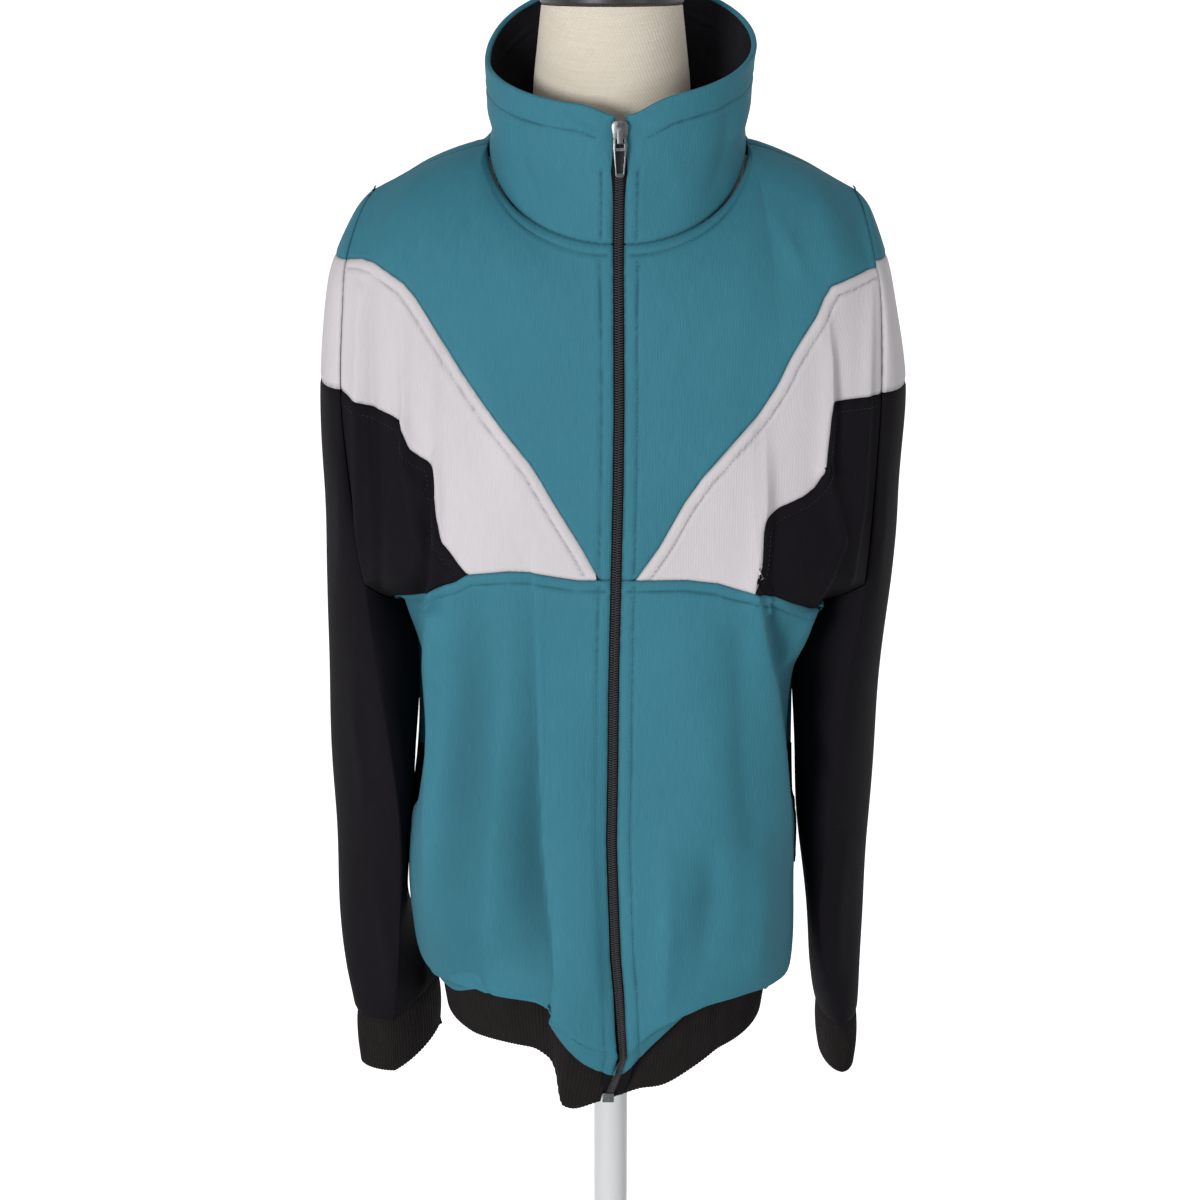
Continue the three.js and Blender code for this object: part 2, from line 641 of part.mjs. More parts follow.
// Side pocket facings lie on the front's side, outside it.
for (const side of ["left", "right"]) {
  const surface = newSurface();
  addGrid(surface, 6, 2, (i, j) => {
    const z = mix(pocketBottom, pocketTop, i / 6);
    const width = 0.13 * Math.sin(Math.PI * mix(0.04, 0.96, i / 6)) ** 0.6;
    const share = mix(0.985 - width, 0.985, j / 2);
    return bodyCorner(side, "front", share, rowAtHeight(side, "front", share, z));
  });
  addPiece(jacket, `pocket_${side}`, wallOf(surface, 1.2, -1.8), colours.black);
}

// Sleeves: teal cap, pale band, black lower sleeve and black rib cuff.
const sleeveSeams = { left: { capEnd: 2.06, bandEnd: 3.92 }, right: { capEnd: 2.04, bandEnd: 3.89 } };

function sleeveCorner(side, face, share, row) {
  const at = face === "outer" ? sleeveOuter : sleeveInner;
  let outward = sleeveOutward(side, face, share, row);
  const atArmhole = face === "outer" && row <= 6.001 && (share < 0.02 || share > 0.98);
  if (atArmhole) outward = armholeOutward(side, share < 0.5 ? "front" : "back", topRow - Math.max(row, 0.3));
  return { point: at(side, share, row), outward };
}

function cuffCorner(side, share, drop, shrink) {
  const end = cuffEnd[side];
  const names = ["front", "outer", "inner", "back"];
  const lines = Object.fromEntries(names.map((line) => {
    const top = sleeveLine(side, line, sleeveEnd);
    const low = new THREE.Vector3(signOf[side] * end[`${line}X`], end[`${line}Y`], top.z - end.drop);
    const point = top.clone().lerp(low, drop);
    point.z -= cuffGap;
    return [line, point];
  }));
  const middle = lines.front.clone().lerp(lines.back, 0.5);
  for (const line of names) lines[line].lerp(new THREE.Vector3(middle.x, middle.y, lines[line].z), shrink);
  const half = share < 0.5 ? "outer" : "inner";
  const along = share < 0.5 ? share * 2 : 2 - share * 2;
  const crease = smoothAt(sleeveRows[side], "crease", sleeveEnd);
  return ovalBetween(lines.front, lines[half], lines.back, along, mix(crease, 1.1, drop));
}

for (const side of ["left", "right"]) {
  const arm = new THREE.Group();
  const seams = sleeveSeams[side];
  const first = 0.006;
  const openRows = [
    [`sleeve_cap_${side}`, 0.04, seams.capEnd - seamInset, 4, colours.teal],
    [`sleeve_band_${side}`, seams.capEnd + seamInset, seams.bandEnd - seamInset, 3, colours.pale]
  ];
  for (const [name, from, to, rows, colour] of openRows) {
    const surface = newSurface();
    addGrid(surface, rows, 8, (i, j) => {
      return sleeveCorner(side, "outer", mix(first, 1 - first, j / 8), mix(from, to, i / rows));
    });
    addPiece(arm, name, wallOf(surface, clothWall), colour);
  }
  const lower = newSurface();
  const start = seams.bandEnd + seamInset;
  const split = 6.05;
  addGrid(lower, 3, 8, (i, j) => {
    const row = mix(start, split, i / 3);
    const inset = i < 3 ? first : 0;
    return sleeveCorner(side, "outer", mix(inset, 1 - inset, j / 8), row);
  });
  addGrid(lower, 8, 8, (i, j) => sleeveCorner(side, "outer", j / 8, mix(split, sleeveEnd, i / 8)));
  addGrid(lower, 8, 6, (i, j) => sleeveCorner(side, "inner", j / 6, mix(split, sleeveEnd, i / 8)));
  addPiece(arm, `sleeve_lower_${side}`, wallOf(lower, clothWall), colours.black);
  const cuff = newSurface();
  const cuffRows = [0, 0.5, 1];
  addGrid(cuff, cuffRows.length - 1, 16, (i, j) => {
    const at = (share, drop) => cuffCorner(side, (share + 1) % 1, drop, 0.03);
    const point = at(j / 16, cuffRows[i]);
    const flip = signOf[side];
    const here = Math.min(Math.max(cuffRows[i], 0.02), 0.98);
    return { point, outward: outwardBy(at, -flip, j / 16, here, 0.01, 0.02) };
  });
  addPiece(arm, `cuff_${side}`, wallOf(cuff, ribWall), colours.rib);
  jacket.add(arm);
}

// Hem band of rib, open at the zip.
function bandPoint(side, part, share, drop) {
  const top = bodyPoint(side, part, share, 0);
  top.z -= seamGap + 0.2;
  top.x *= 0.996;
  top.y *= 0.996;
  const s = signOf[side];
  const low = hemAt(side, part, share, "hem");
  const halfX = side === "left" ? 111 : 121;
  const depth = part === "front" ? -116 : 102;
  const angle = share * Math.PI / 2;
  const middleX = part === "front" ? zipAt(low).x + s * zipOpening : 1;
  const bottom = new THREE.Vector3(
    mix(middleX, s * halfX, Math.sin(angle)),
    depth * Math.cos(angle) - hemAt(side, part, share, "forward"),
    low
  );
  return top.lerp(bottom, drop);
}

{
  const surface = newSurface();
  const bandRows = [0, 0.5, 1];
  const stations = [];
  for (let j = 0; j <= 12; j += 1) stations.push(["left", "front", j / 12]);
  for (let j = 6; j >= 0; j -= 1) stations.push(["left", "back", j / 7]);
  for (let j = 1; j <= 7; j += 1) stations.push(["right", "back", j / 7]);
  for (let j = 11; j >= 0; j -= 1) stations.push(["right", "front", j / 12]);
  addGrid(surface, bandRows.length - 1, stations.length - 1, (i, j) => {
    const [side, part, share] = stations[j];
    const flip = signOf[side] * (part === "front" ? 1 : -1);
    const a = clamp(share, 0.01, 0.99);
    const b = clamp(bandRows[i], 0.03, 0.97);
    const at = (p, q) => bandPoint(side, part, p, q);
    return { point: at(share, bandRows[i]), outward: outwardBy(at, -flip, a, b, 0.008, 0.02) };
  });
  addPiece(jacket, "hem_band", wallOf(surface, ribWall), colours.rib);
}

// Stand collar: a ring that opens at the zip. turn goes from the zip's one side round to the other.
function collarPoint(turn, height, depth) {
  const side = turn < 0.5 ? "left" : "right";
  const s = signOf[side];
  const share = side === "left" ? turn * 2 : 2 - turn * 2;
  const angle = share * Math.PI;
  const front = angle < Math.PI / 2;
  const waist = 3.5 * Math.sin(Math.PI * clamp01(height / 0.5)) * Math.sin(angle);
  const half = mix(neckHalf[side], rimHalf[side], height) - waist - depth;
  const reach = mix(front ? neckFront : neckBack, front ? rimFront : rimBack, height);
  const y = shoulderY + (reach - shoulderY + (front ? depth : -depth)) * Math.abs(Math.cos(angle));
  const z0 = neckSideZ + ((front ? neckFrontZ : neckBackZ) - neckSideZ) * Math.abs(Math.cos(angle));
  const rimEndZ = front ? rimFrontZ[side] : rimBackZ;
  const away = half * Math.sin(angle) / rimCornerWidth[side];
  const corner = front ? rimCorner[side] * Math.exp(-away * away) : 0;
  const z1 = rimSideZ[side] + (rimEndZ - rimSideZ[side]) * Math.abs(Math.cos(angle)) - corner;
  const z = mix(z0 + seamGap + 0.2, z1, height);
  const middleX = mix(zipAt(z).x + s * zipOpening, mix(1, 6, height), ease(share * 1.2));
  return new THREE.Vector3(mix(middleX, s * half, Math.sin(angle)), y, z);
}

const collarLayers = [["collar_outer", 0, colours.teal], ["collar_inner", 1.95, colours.black]];
for (const [name, depth, colour] of collarLayers) {
  const surface = newSurface();
  const heights = [0, 0.3, 0.65, 1];
  addGrid(surface, heights.length - 1, 28, (i, j) => {
    const turn = j / 28;
    const at = (p, q) => collarPoint(p, q, depth);
    const a = Math.min(Math.max(turn, 0.006), 0.994);
    const b = Math.min(Math.max(heights[i], 0.03), 0.97);
    const lower = depth > 0 && i === heights.length - 1 ? 0.99 : heights[i];
    return { point: at(turn, lower), outward: outwardBy(at, 1, a, b, 0.005, 0.02) };
  });
  addPiece(jacket, name, wallOf(surface, clothWall), colour);
}

// Zip: two tapes and the two halves of the closed coil, along the middle line.
function zipStrip(fromX, toX, front, thickness, lowZ, highZ, steps) {
  const surface = newSurface();
  addGrid(surface, steps, 1, (i, j) => {
    const z = mix(lowZ, highZ, i / steps);
    const middle = zipAt(z);
    const ahead = zipAt(z + 4);
    const behind = zipAt(z - 4);
    const outward = new THREE.Vector3(0, -8, ahead.y - behind.y).normalize();
    const point = new THREE.Vector3(middle.x + (j ? toX : fromX), middle.y, z);
    return { point: point.addScaledVector(outward, front), outward };
  });
  return wallOf(surface, thickness);
}

const zipLow = 690;
const sliderZ = 1357;
for (const side of ["left", "right"]) {
  const s = signOf[side];
  const tape = zipStrip(s * 0.15, s * 2.6, -1.3, 1, zipLow + 8, sliderZ + 1, 24);
  addPiece(jacket, `zip_tape_${side}`, tape, colours.zip);
  const coil = zipStrip(s * 0.15, s * 2.1, 0.5, 1.1, zipLow + 8, sliderZ - 6.5, 24);
  addPiece(jacket, `zip_coil_${side}`, coil, colours.zip, 0.6);
}

// Hard parts of the zip are cut and joined as closed solids.
function solidOf(geometry) {
  const seen = new Map();
  const numbers = [];
  const place = geometry.getAttribute("position");
  const links = [];
  for (let i = 0; i < place.count; i += 1) {
    const corner = [place.getX(i), place.getY(i), place.getZ(i)];
    const key = corner.map((v) => Math.round(v * 1e4)).join(",");
    if (!seen.has(key)) {
      seen.set(key, numbers.length / 3);
      numbers.push(...corner);
    }
    links.push(seen.get(key));
  }
  const order = geometry.index ? Array.from(geometry.index.array) : links.map((_, i) => i);
  const mesh = new wasm.Mesh({
    numProp: 3,
    vertProperties: new Float32Array(numbers),
    triVerts: new Uint32Array(order.map((i) => links[i]))
  });
  return new wasm.Manifold(mesh);
}

function geometryFrom(solid) {
  const mesh = solid.getMesh();
  const geometry = new THREE.BufferGeometry();
  geometry.setAttribute("position", new THREE.BufferAttribute(Float32Array.from(mesh.vertProperties), 3));
  geometry.setIndex(Array.from(mesh.triVerts));
  geometry.computeVertexNormals();
  return geometry;
}

// Outline in X and Z, pulled to a thickness in Y, with its front face at y.
function plate(points, thickness, y, holes = []) {
  const shape = new THREE.Shape(points.map(([x, z]) => new THREE.Vector2(x, z)));
  for (const [x, z, radius] of holes) {
    const hole = new THREE.Path();
    hole.absarc(x, z, radius, 0, 2 * Math.PI, true);
    shape.holes.push(hole);
  }
  const body = new THREE.ExtrudeGeometry(shape, { depth: thickness, bevelEnabled: false, curveSegments: 10 });
  body.rotateX(Math.PI / 2);
  body.translate(0, y + thickness, 0);
  return solidOf(body);
}

const sliderWidth = 11;
const sliderLength = 12;
const bridgeReach = 4.4;
const tabLength = 26.5;
const slider = zipAt(sliderZ);
const sliderFace = slider.y - 2.6;
const pivot = new THREE.Vector3(slider.x, sliderFace - 1.6, sliderZ - 4.3);

{
  const w = sliderWidth / 2;
  const l = sliderLength / 2;
  const outline = [[-w + 1.5, l], [w - 1.5, l], [w, l - 3], [w - 1, -l + 1], [w - 2, -l],
    [-w + 2, -l], [-w + 1, -l + 1], [-w, l - 3]];
  let body = plate(outline, 1.5, 0);
  body = body.add(plate([[-3, l], [3, l], [3, -l], [-3, -l]], 1.2, 5.2));
  body = body.add(plate([[-1.5, l], [1.5, l], [1.5, l - 3], [-1.5, l - 3]], 4.2, 1.2));
  const arch = new THREE.Shape();
  arch.moveTo(l - 1, 0.5);
  arch.lineTo(l - 1, -1.8);
  arch.quadraticCurveTo(l - 2, -bridgeReach, 0, -bridgeReach);
  arch.lineTo(-l - 2, -bridgeReach);
  arch.lineTo(-l - 3.2, -bridgeReach + 1.3);
  arch.lineTo(-l - 2.4, -bridgeReach + 1.5);
  arch.lineTo(-l + 0.6, 0.5);
  arch.lineTo(-l + 2, 0.5);
  arch.lineTo(-l - 1.4, -bridgeReach + 1.2);
  arch.lineTo(l - 3.4, -bridgeReach + 1.2);
  arch.lineTo(l - 2.6, 0.5);
  const rail = new THREE.ExtrudeGeometry(arch, { depth: 3.6, bevelEnabled: false, curveSegments: 6 });
  rail.applyMatrix4(new THREE.Matrix4().makeBasis(
    new THREE.Vector3(0, 0, 1), new THREE.Vector3(0, 1, 0), new THREE.Vector3(-1, 0, 0)));
  rail.translate(1.8, 0, 0);
  body = body.add(solidOf(rail));
  const mesh = addPiece(jacket, "zip_slider", geometryFrom(body), colours.metal, 0.35, 0.9);
  mesh.position.set(slider.x, sliderFace, sliderZ);
}

// Pull tab: a thin frame that hangs from the bridge, tapering downwards. It turns about its top bar.
{
  const top = 0.7;
  const low = top - tabLength;
  const half = [[2.6, top], [4.1, top - 1.6], [4.5, -6.2], [2.9, low + 1.5], [1.9, low]];
  const outline = [...half, ...half.map(([x, z]) => [-x, z]).reverse()];
  const body = plate(outline, 1.3, -0.65);
  const recess = [[-3.2, -8.8], [3.2, -8.8], [2.1, low + 2.5], [-2.1, low + 2.5]];
  const eye = [[-2.4, -top], [2.4, -top], [2.9, -6.7], [-2.9, -6.7]];
  const cut = body.subtract(plate(eye, 3, -1.5)).subtract(plate(recess, 1, -1.15));
  const mesh = addPiece(jacket, "zip_pull_tab", geometryFrom(cut), colours.metal, 0.35, 0.9);
  mesh.position.copy(pivot);
}

// Bottom box of the zip.
{
  const middle = zipAt(zipLow + 2);
  const box = plate([[-4, 3.4], [4, 3.4], [4, -3.4], [-4, -3.4]], 3.2, 0);
  const mesh = addPiece(jacket, "zip_bottom_box", geometryFrom(box), colours.metal, 0.4, 0.8);
  mesh.position.set(middle.x, middle.y - 3.4, zipLow + 2);
}

// Dress form: a smooth torso whose shoulders carry the jacket, with its neck.
const formRows = table(
  ["z", "half", "front", "back", "square"],
  [790, 112, -84, 90, 2.2],
  [850, 112, -90, 92, 2.2],
  [935, 95, -80, 76, 2.2],
  [1010, 104, -90, 82, 2.3],
  [1090, 116, -100, 90, 2.4],
  [1160, 126, -92, 94, 2.4],
  [1230, 146, -76, 90, 2.3],
  [1290, 150, -62, 78, 2.2],
  [1345, 150, -52, 62, 2.2]
);
const neckRows = table(
  ["z", "half", "centreY"],
  [1290, 66, 10],
  [1320, 60, 10],
  [1350, 55, 8],
  [1385, 53, 5],
  [1434.7, 47.5, 0]
);
const formClearance = clothWall + 0.55;
const neckDip = 10;

function insideForm(x, y, z) {
  if (z >= neckRows[0].z) {
    const half = lookUp(neckRows, "z", z, "half");
    if (Math.hypot(x, y - lookUp(neckRows, "z", z, "centreY")) < half) return true;
  }
  if (z > formTop) return false;
  const size = Object.fromEntries(["half", "front", "back", "square"].map(
    (name) => [name, lookUp(formRows, "z", z, name)]));
  const depth = y < shoulderY ? size.front - shoulderY : size.back - shoulderY;
  const across = Math.abs(x) / size.half;
  const deep = Math.abs((y - shoulderY) / depth);
  const spread = across ** size.square + deep ** size.square;
  if (spread > 1) return false;
  const side = x > 0 ? "left" : "right";
  const tip = Math.abs(sleeveLine(side, "front", 0).x);
  const along = Math.max((Math.abs(x) - neckHalf[side]) / (tip - neckHalf[side]), 0);
  const rollRadius = y < shoulderY ? 11 : 14;
  const dip = neckDip * ease((neckHalf[side] + 8 - Math.abs(x)) / 12);
  return z < shoulderZ(along) - formClearance - dip - (y - shoulderY) ** 2 / (2 * rollRadius);
}

{
  const levels = [790, 850, 895, 935, 975, 1010, 1050, 1090, 1160, 1200, 1230, 1258, 1278,
    1294, 1306, 1315, 1323, 1330, 1335, 1339.4, 1344, 1354, 1385, 1434.7];
  const around = 32;
  const surface = { points: [], faces: [] };
  levels.forEach((z) => {
    for (let j = 0; j < around; j += 1) {
      const angle = 2 * Math.PI * j / around;
      let near = 0;
      let far = 220;
      for (let i = 0; i < 30; i += 1) {
        const middle = (near + far) / 2;
        const inside = insideForm(middle * Math.cos(angle), shoulderY + middle * Math.sin(angle), z);
        if (inside) near = middle;
        else far = middle;
      }
      surface.points.push(new THREE.Vector3(near * Math.cos(angle), shoulderY + near * Math.sin(angle), z));
    }
  });
  for (let i = 0; i < levels.length - 1; i += 1) {
    for (let j = 0; j < around; j += 1) {
      const next = (j + 1) % around;
      const [a, b, c, d] = [i * around + j, i * around + next, (i + 1) * around + next, (i + 1) * around + j];
      surface.faces.push([a, b, c], [a, c, d]);
    }
  }
  const lowCentre = surface.points.length;
  surface.points.push(new THREE.Vector3(0, shoulderY, levels[0]));
  surface.points.push(new THREE.Vector3(0, shoulderY - 4, levels[levels.length - 1]));
  const lastRing = (levels.length - 1) * around;
  for (let j = 0; j < around; j += 1) {
    const next = (j + 1) % around;
    surface.faces.push([lowCentre, next, j], [lowCentre + 1, lastRing + j, lastRing + next]);
  }
  addPiece(jacket, "form_torso", geometryOf(surface.points, surface.faces), colours.linen);
}

// Turned parts: neck cap, pole and base.
function turned(profile, steps) {
  const closed = profile.map(([r, z]) => new THREE.Vector2(r, z));
  const body = new THREE.LatheGeometry(closed, steps);
  body.rotateX(Math.PI / 2);
  return geometryFrom(solidOf(body));
}

{
  const radius = 48.5;
  const cap = turned([[0, 0], [radius, 0], [radius, capHeight - 6], [radius - 3, capHeight - 2],
    [radius - 9, capHeight], [0, capHeight + 3]], 28);
  const mesh = addPiece(jacket, "form_neck_cap", cap, colours.cap, 0.5);
  mesh.position.set(0, 0, capBottom);
  const pole = turned([[0, baseHeight + 0.3], [poleRadius, baseHeight + 0.3], [poleRadius, formBottom - 0.3],
    [0, formBottom - 0.3]], 24);
  const poleMesh = addPiece(jacket, "stand_pole", pole, colours.stand, 0.35, 0.8);
  poleMesh.position.set(0, shoulderY, 0);
  const base = turned([[0, 0], [baseRadius - 1.5, 0], [baseRadius, 1.5], [baseRadius, 8],
    [baseRadius - 4, 11], [40, 14], [26, baseHeight], [0, baseHeight]], 40);
  addPiece(jacket, "stand_base", base, colours.stand, 0.4, 0.7);
}

export default jacket;
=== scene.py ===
# Looks of a zipped track jacket on its dress form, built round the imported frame.
# Sizes are in millimetres, as in the part's source; meshes are written in metres.
import math

import bmesh
import bpy
import numpy as np
from mathutils import Matrix, Vector
from mathutils.bvhtree import BVHTree


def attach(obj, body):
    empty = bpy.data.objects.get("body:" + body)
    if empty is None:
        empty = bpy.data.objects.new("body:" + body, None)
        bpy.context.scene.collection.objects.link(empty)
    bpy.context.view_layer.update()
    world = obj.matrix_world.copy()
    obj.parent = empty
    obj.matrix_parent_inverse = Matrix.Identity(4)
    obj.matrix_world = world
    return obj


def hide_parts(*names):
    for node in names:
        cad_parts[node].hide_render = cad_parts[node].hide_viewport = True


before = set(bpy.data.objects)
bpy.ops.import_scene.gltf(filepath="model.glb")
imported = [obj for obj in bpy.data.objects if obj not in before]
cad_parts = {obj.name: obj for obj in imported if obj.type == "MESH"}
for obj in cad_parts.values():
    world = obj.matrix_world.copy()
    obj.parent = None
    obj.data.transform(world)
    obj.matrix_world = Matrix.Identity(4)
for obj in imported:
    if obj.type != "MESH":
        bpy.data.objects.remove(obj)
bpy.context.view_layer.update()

METRE = 0.001
BODY = "jacket_on_form"
TAB = "pull_tab"

# Camera: 2600 pixels of focal length in the 1200-pixel frame, 15 degrees down, at eye height
photo_size = 1200
focal_px = 2600
camera_place = (-8.0, -1790.0, 1500.0)
camera_pitch = math.radians(15)
sensor_width = 36.0

# Cloth: walls, and how far a panel's edge is carried on under the next one
cloth_wall = 1.0
rib_wall = 2.0
seam_gap = 0.3
side_reach = 0.7
lip_depth = 1.1
lips = (0.7, 0.7)

# Seams and rows of stitches: where they run, how deep they dip into the cloth, and how much shade is painted
# into the dips
stitch_gauge = 7.5
rim_gauge = 16
zip_gauge = 8.3
pocket_gauge = 4.0
stitch_pitch = 3.1
stitch_size = (2.3, 0.5, 0.42)
stitch_rise = 0.12
seam_dip = 0.8
seam_width = 1.5
seam_shade = 0.8
stitch_dip = 0.6
stitch_width = 1.2
stitch_shade = 0.75
shade_width = 0.9
puff_height = 0.25
puff_place = 3.4
puff_width = 1.6

# Folds, and the shade in their hollows
fold_gain = 1.5
hollow_depth = 12
hollow_shade = 0.75

# Hem band, ribs and pockets
band_height = 56
band_half = {"left": 111, "right": 121}
band_depth = {"front": -116, "back": 102}
back_hem = 712
back_fold = 744
rib_pitch = 2.7
rib_height = 0.3
pocket_top = 915
pocket_bottom = 826
pocket_lift = 1.9
pocket_lips = (0.2, 0.2)

# Neck, shoulders and collar
shoulder_y = 5
neck_half = {"left": 92, "right": 84}
neck_front = -75
neck_back = 75
neck_front_z = 1283
neck_side_z = 1342
neck_back_z = 1368
neck_share = 0.52
shoulder_drop = 30
shoulder_roll = 13
rim_half = {"left": 98, "right": 86}
rim_side_z = {"left": 1409, "right": 1398}
rim_front = -72
rim_back = 80
rim_front_z = {"left": 1376, "right": 1371}
rim_back_z = 1447
rim_corner = {"left": 11, "right": 6}
rim_corner_width = {"left": 22, "right": 12}
rim_roll = 1.9
rim_turn = 3.0
collar_waist = 3.5
collar_lips = (3.0, 0.2)
lining_gap = 0.25

# Zip
zip_opening = 3.7
slider_z = 1357
zip_low = 692
tape_half = 5.6
tape_foot = 10
tooth_pitch = 1.65
tooth_size = (3.9, 1.15, 1.5)

# Form and stand
form_bottom = 790
form_shoulder = 1240
form_top = 1348
neck_top = 1434.5
cap_bottom = 1435
cap_radius = 48.5
cap_height = 16
cap_dome = 4.6
pole_foot = 20.3
pole_radius = 12.5
base_radius = 170
base_height = 9

sign_of = {"left": 1.0, "right": -1.0}

# Rows of the body's table, and of the sleeve's table, where something starts or ends
hanging_row = 3
underarm_row = 7
crease_row = 9
shoulder_row = 11
top_row = 15
top_edge = top_row - 0.006
even_row = 6.6
split_row = 6
sleeve_end = 12

# Shares of the way from the zip to the armhole, where panels start and where all of them end, and the
# least height of a panel in rows
chevron_start = 0.045
side_start = {"left": 0.4105, "right": 0.436}
edge_share = 0.9985
least_rows = 0.012

# The least width of a tape's cut in metres
least_tape = 0.0101


# Tables and the curves through them

def table(names, *rows):
    return dict(zip(names.split(), np.array(rows, dtype=float).T))


def smooth_at(rows, name, t):
    values = rows[name]
    last = len(values) - 1
    i = np.clip(np.floor(t).astype(int), 0, last - 1)
    f = np.clip(t - i, 0, 1)
    p0, p1 = values[np.maximum(i - 1, 0)], values[i]
    p2, p3 = values[i + 1], values[np.minimum(i + 2, last)]
    return hermite(p1, p2, (p2 - p0) / 2, (p3 - p1) / 2, f)


def hermite(start, end, slope_start, slope_end, f):
    f2 = f * f
    f3 = f2 * f
    ends = start * (2 * f3 - 3 * f2 + 1) + end * (3 * f2 - 2 * f3)
    return ends + slope_start * (f3 - 2 * f2 + f) + slope_end * (f3 - f2)


def look_up(rows, key, value, name):
    return np.interp(value, rows[key], rows[name])


def mix(a, b, share):
    return a + (b - a) * share


def ease(t):
    t = np.clip(t, 0, 1)
    return t * t * (3 - 2 * t)


def lift(values):
    return np.asarray(values, dtype=float)[..., None]


def unit(vectors):
    return vectors / np.maximum(np.linalg.norm(vectors, axis=-1, keepdims=True), 1e-9)


def softened(values, passes=3):
    for _ in range(passes):
        inner = (values[:-2] + 2 * values[1:-1] + values[2:]) / 4
        values = np.concatenate([values[:1], inner, values[-1:]])
    return values


body_rows = table(
    "front_z front_y back_z back_y half_left side_z_left half_right side_z_right"
    " side_y front_square front_end back_square back_end top_share",
    [744, -117, 768, 108, 112, 773, 123, 773, -2, 2.3, 90, 2.3, 90, 0],
    [712, -127, 744, 118, 115, 727, 128, 762, -2, 2.4, 90, 2.4, 90, 0],
    [730, -133, 760, 126, 125, 741, 138, 778, -1, 2.6, 90, 2.5, 90, 0],
    [775, -136, 790, 129, 132.5, 778, 145.5, 807, 0, 2.8, 90, 2.6, 90, 0],
    [846, -135, 846, 125, 131.5, 842, 146.5, 846, 0, 3.0, 90, 2.6, 90, 0],
    [932, -131, 932, 118, 130, 930, 138.5, 932, 0, 3.1, 90, 2.5, 90, 0],
    [995, -128, 995, 113, 131.5, 990, 140, 990, 0, 3.1, 90, 2.5, 90, 0],
    [1040, -126.5, 1040, 112, 0, 0, 0, 0, 0, 3.0, 88, 2.5, 88, 0],
    [1063, -125, 1063, 112, 0, 0, 0, 0, 0, 2.8, 80, 2.4, 80, 0],
    [1086, -122, 1088, 113, 0, 0, 0, 0, 0, 2.6, 72, 2.3, 72, 0],
    [1126, -115, 1130, 114, 0, 0, 0, 0, 0, 2.4, 66, 2.2, 66, 0],
    [1178, -103.5, 1190, 113, 0, 0, 0, 0, 0, 2.3, 62, 2.2, 62, 0],
    [1224, -92, 1250, 107, 0, 0, 0, 0, 0, 2.2, 62, 2.2, 62, 0.15],
    [1248, -85.5, 1290, 99, 0, 0, 0, 0, 0, 2.2, 62, 2.2, 62, 0.48],
    [1268, -80, 1330, 88, 0, 0, 0, 0, 0, 2.2, 62, 2.2, 62, 0.8],
    [1283, -75, 1368, 75, 0, 0, 0, 0, 0, 2.2, 62, 2.2, 62, 1],
)

hem_rows = table(
    "share hem_left fold_left forward_left hem_right fold_right forward_right",
    [0, 690, 712, 0, 688, 712, 2],
    [0.1, 697, 731, 1, 683, 724, 7],
    [0.17, 697, 743, 2, 686, 742, 9],
    [0.21, 698, 750, 2, 712, 765, -3],
    [0.3, 704, 762, 0, 720, 764, -4],
    [0.45, 714, 765, -1, 719, 764, -2],
    [0.6, 715, 757, 0, 717, 753, 0],
    [0.8, 716, 739, 0, 717, 751, 0],
    [1, 717, 727, 0, 717, 762, 0],
)

sleeve_names = "z front_x front_y outer_x outer_y back_x back_y inner_x inner_y inner_z crease"
sleeve_rows = {
    "left": table(
        sleeve_names,
        [1312, 166, 5, 166, 5, 166, 5, 0, 0, 0, 1],
        [1298, 172, -14, 178, 5, 171, 24, 0, 0, 0, 1],
        [1270, 177.5, -38, 188.5, 3, 177, 46, 0, 0, 0, 1],
        [1242, 181, -52, 194.5, 3, 180, 60, 0, 0, 0, 1],
        [1176, 182, -63, 204, 3, 181, 74, 0, 0, 0, 1],
        [1100, 179, -60, 202, 4, 179, 76, 0, 0, 0, 1.1],
        [1046, 175, -55, 198.5, 5, 174, 70, 144, -4, 1026, 1.25],
        [986, 166, -58, 194.5, 5, 170, 72, 130.5, 6, 986, 1.45],
        [900, 155.5, -57, 189.5, 5, 165, 68, 133.5, 8, 900, 1.5],
        [850, 152, -54, 187.5, 5, 161, 62, 136.5, 8, 850, 1.5],
        [790, 150, -51, 186, 3, 160, 56, 144, 8, 790, 1.5],
        [745, 159, -49, 183.5, -2, 163, 49, 147.5, 5, 745, 1.4],
        [713, 167, -47, 182, -6, 167, 42, 152, 2, 713, 1.3],
    ),
    "right": table(
        sleeve_names,
        [1312, 162, 5, 162, 5, 162, 5, 0, 0, 0, 1],
        [1298, 171, -14, 176, 5, 170, 24, 0, 0, 0, 1],
        [1270, 179, -38, 189.5, 3, 178, 46, 0, 0, 0, 1],
        [1242, 181, -52, 196.5, 3, 180, 60, 0, 0, 0, 1],
        [1176, 183, -63, 202, 3, 181, 74, 0, 0, 0, 1],
        [1100, 177, -60, 201.5, 4, 177, 76, 0, 0, 0, 1.1],
        [1046, 170.5, -55, 202, 5, 171, 70, 147, -4, 1026, 1.25],
        [986, 163.5, -58, 203, 5, 172, 72, 138, 6, 986, 1.45],
        [900, 152, -58, 202.5, 5, 168, 68, 143.5, 10, 900, 1.5],
        [850, 149.5, -56, 201.5, 5, 163, 63, 149.5, 14, 850, 1.5],
        [790, 151.5, -53, 199.5, 2, 160, 56, 151.5, 22, 790, 1.5],
        [745, 155, -44, 195, -4, 152, 46, 137, 28, 748, 1.4],
        [713, 159, -38, 188.5, -9, 150, 36, 128.5, 25, 725, 1.3],
    ),
}
sleeve_seams = {"left": (2.06, 3.92), "right": (2.04, 3.89)}
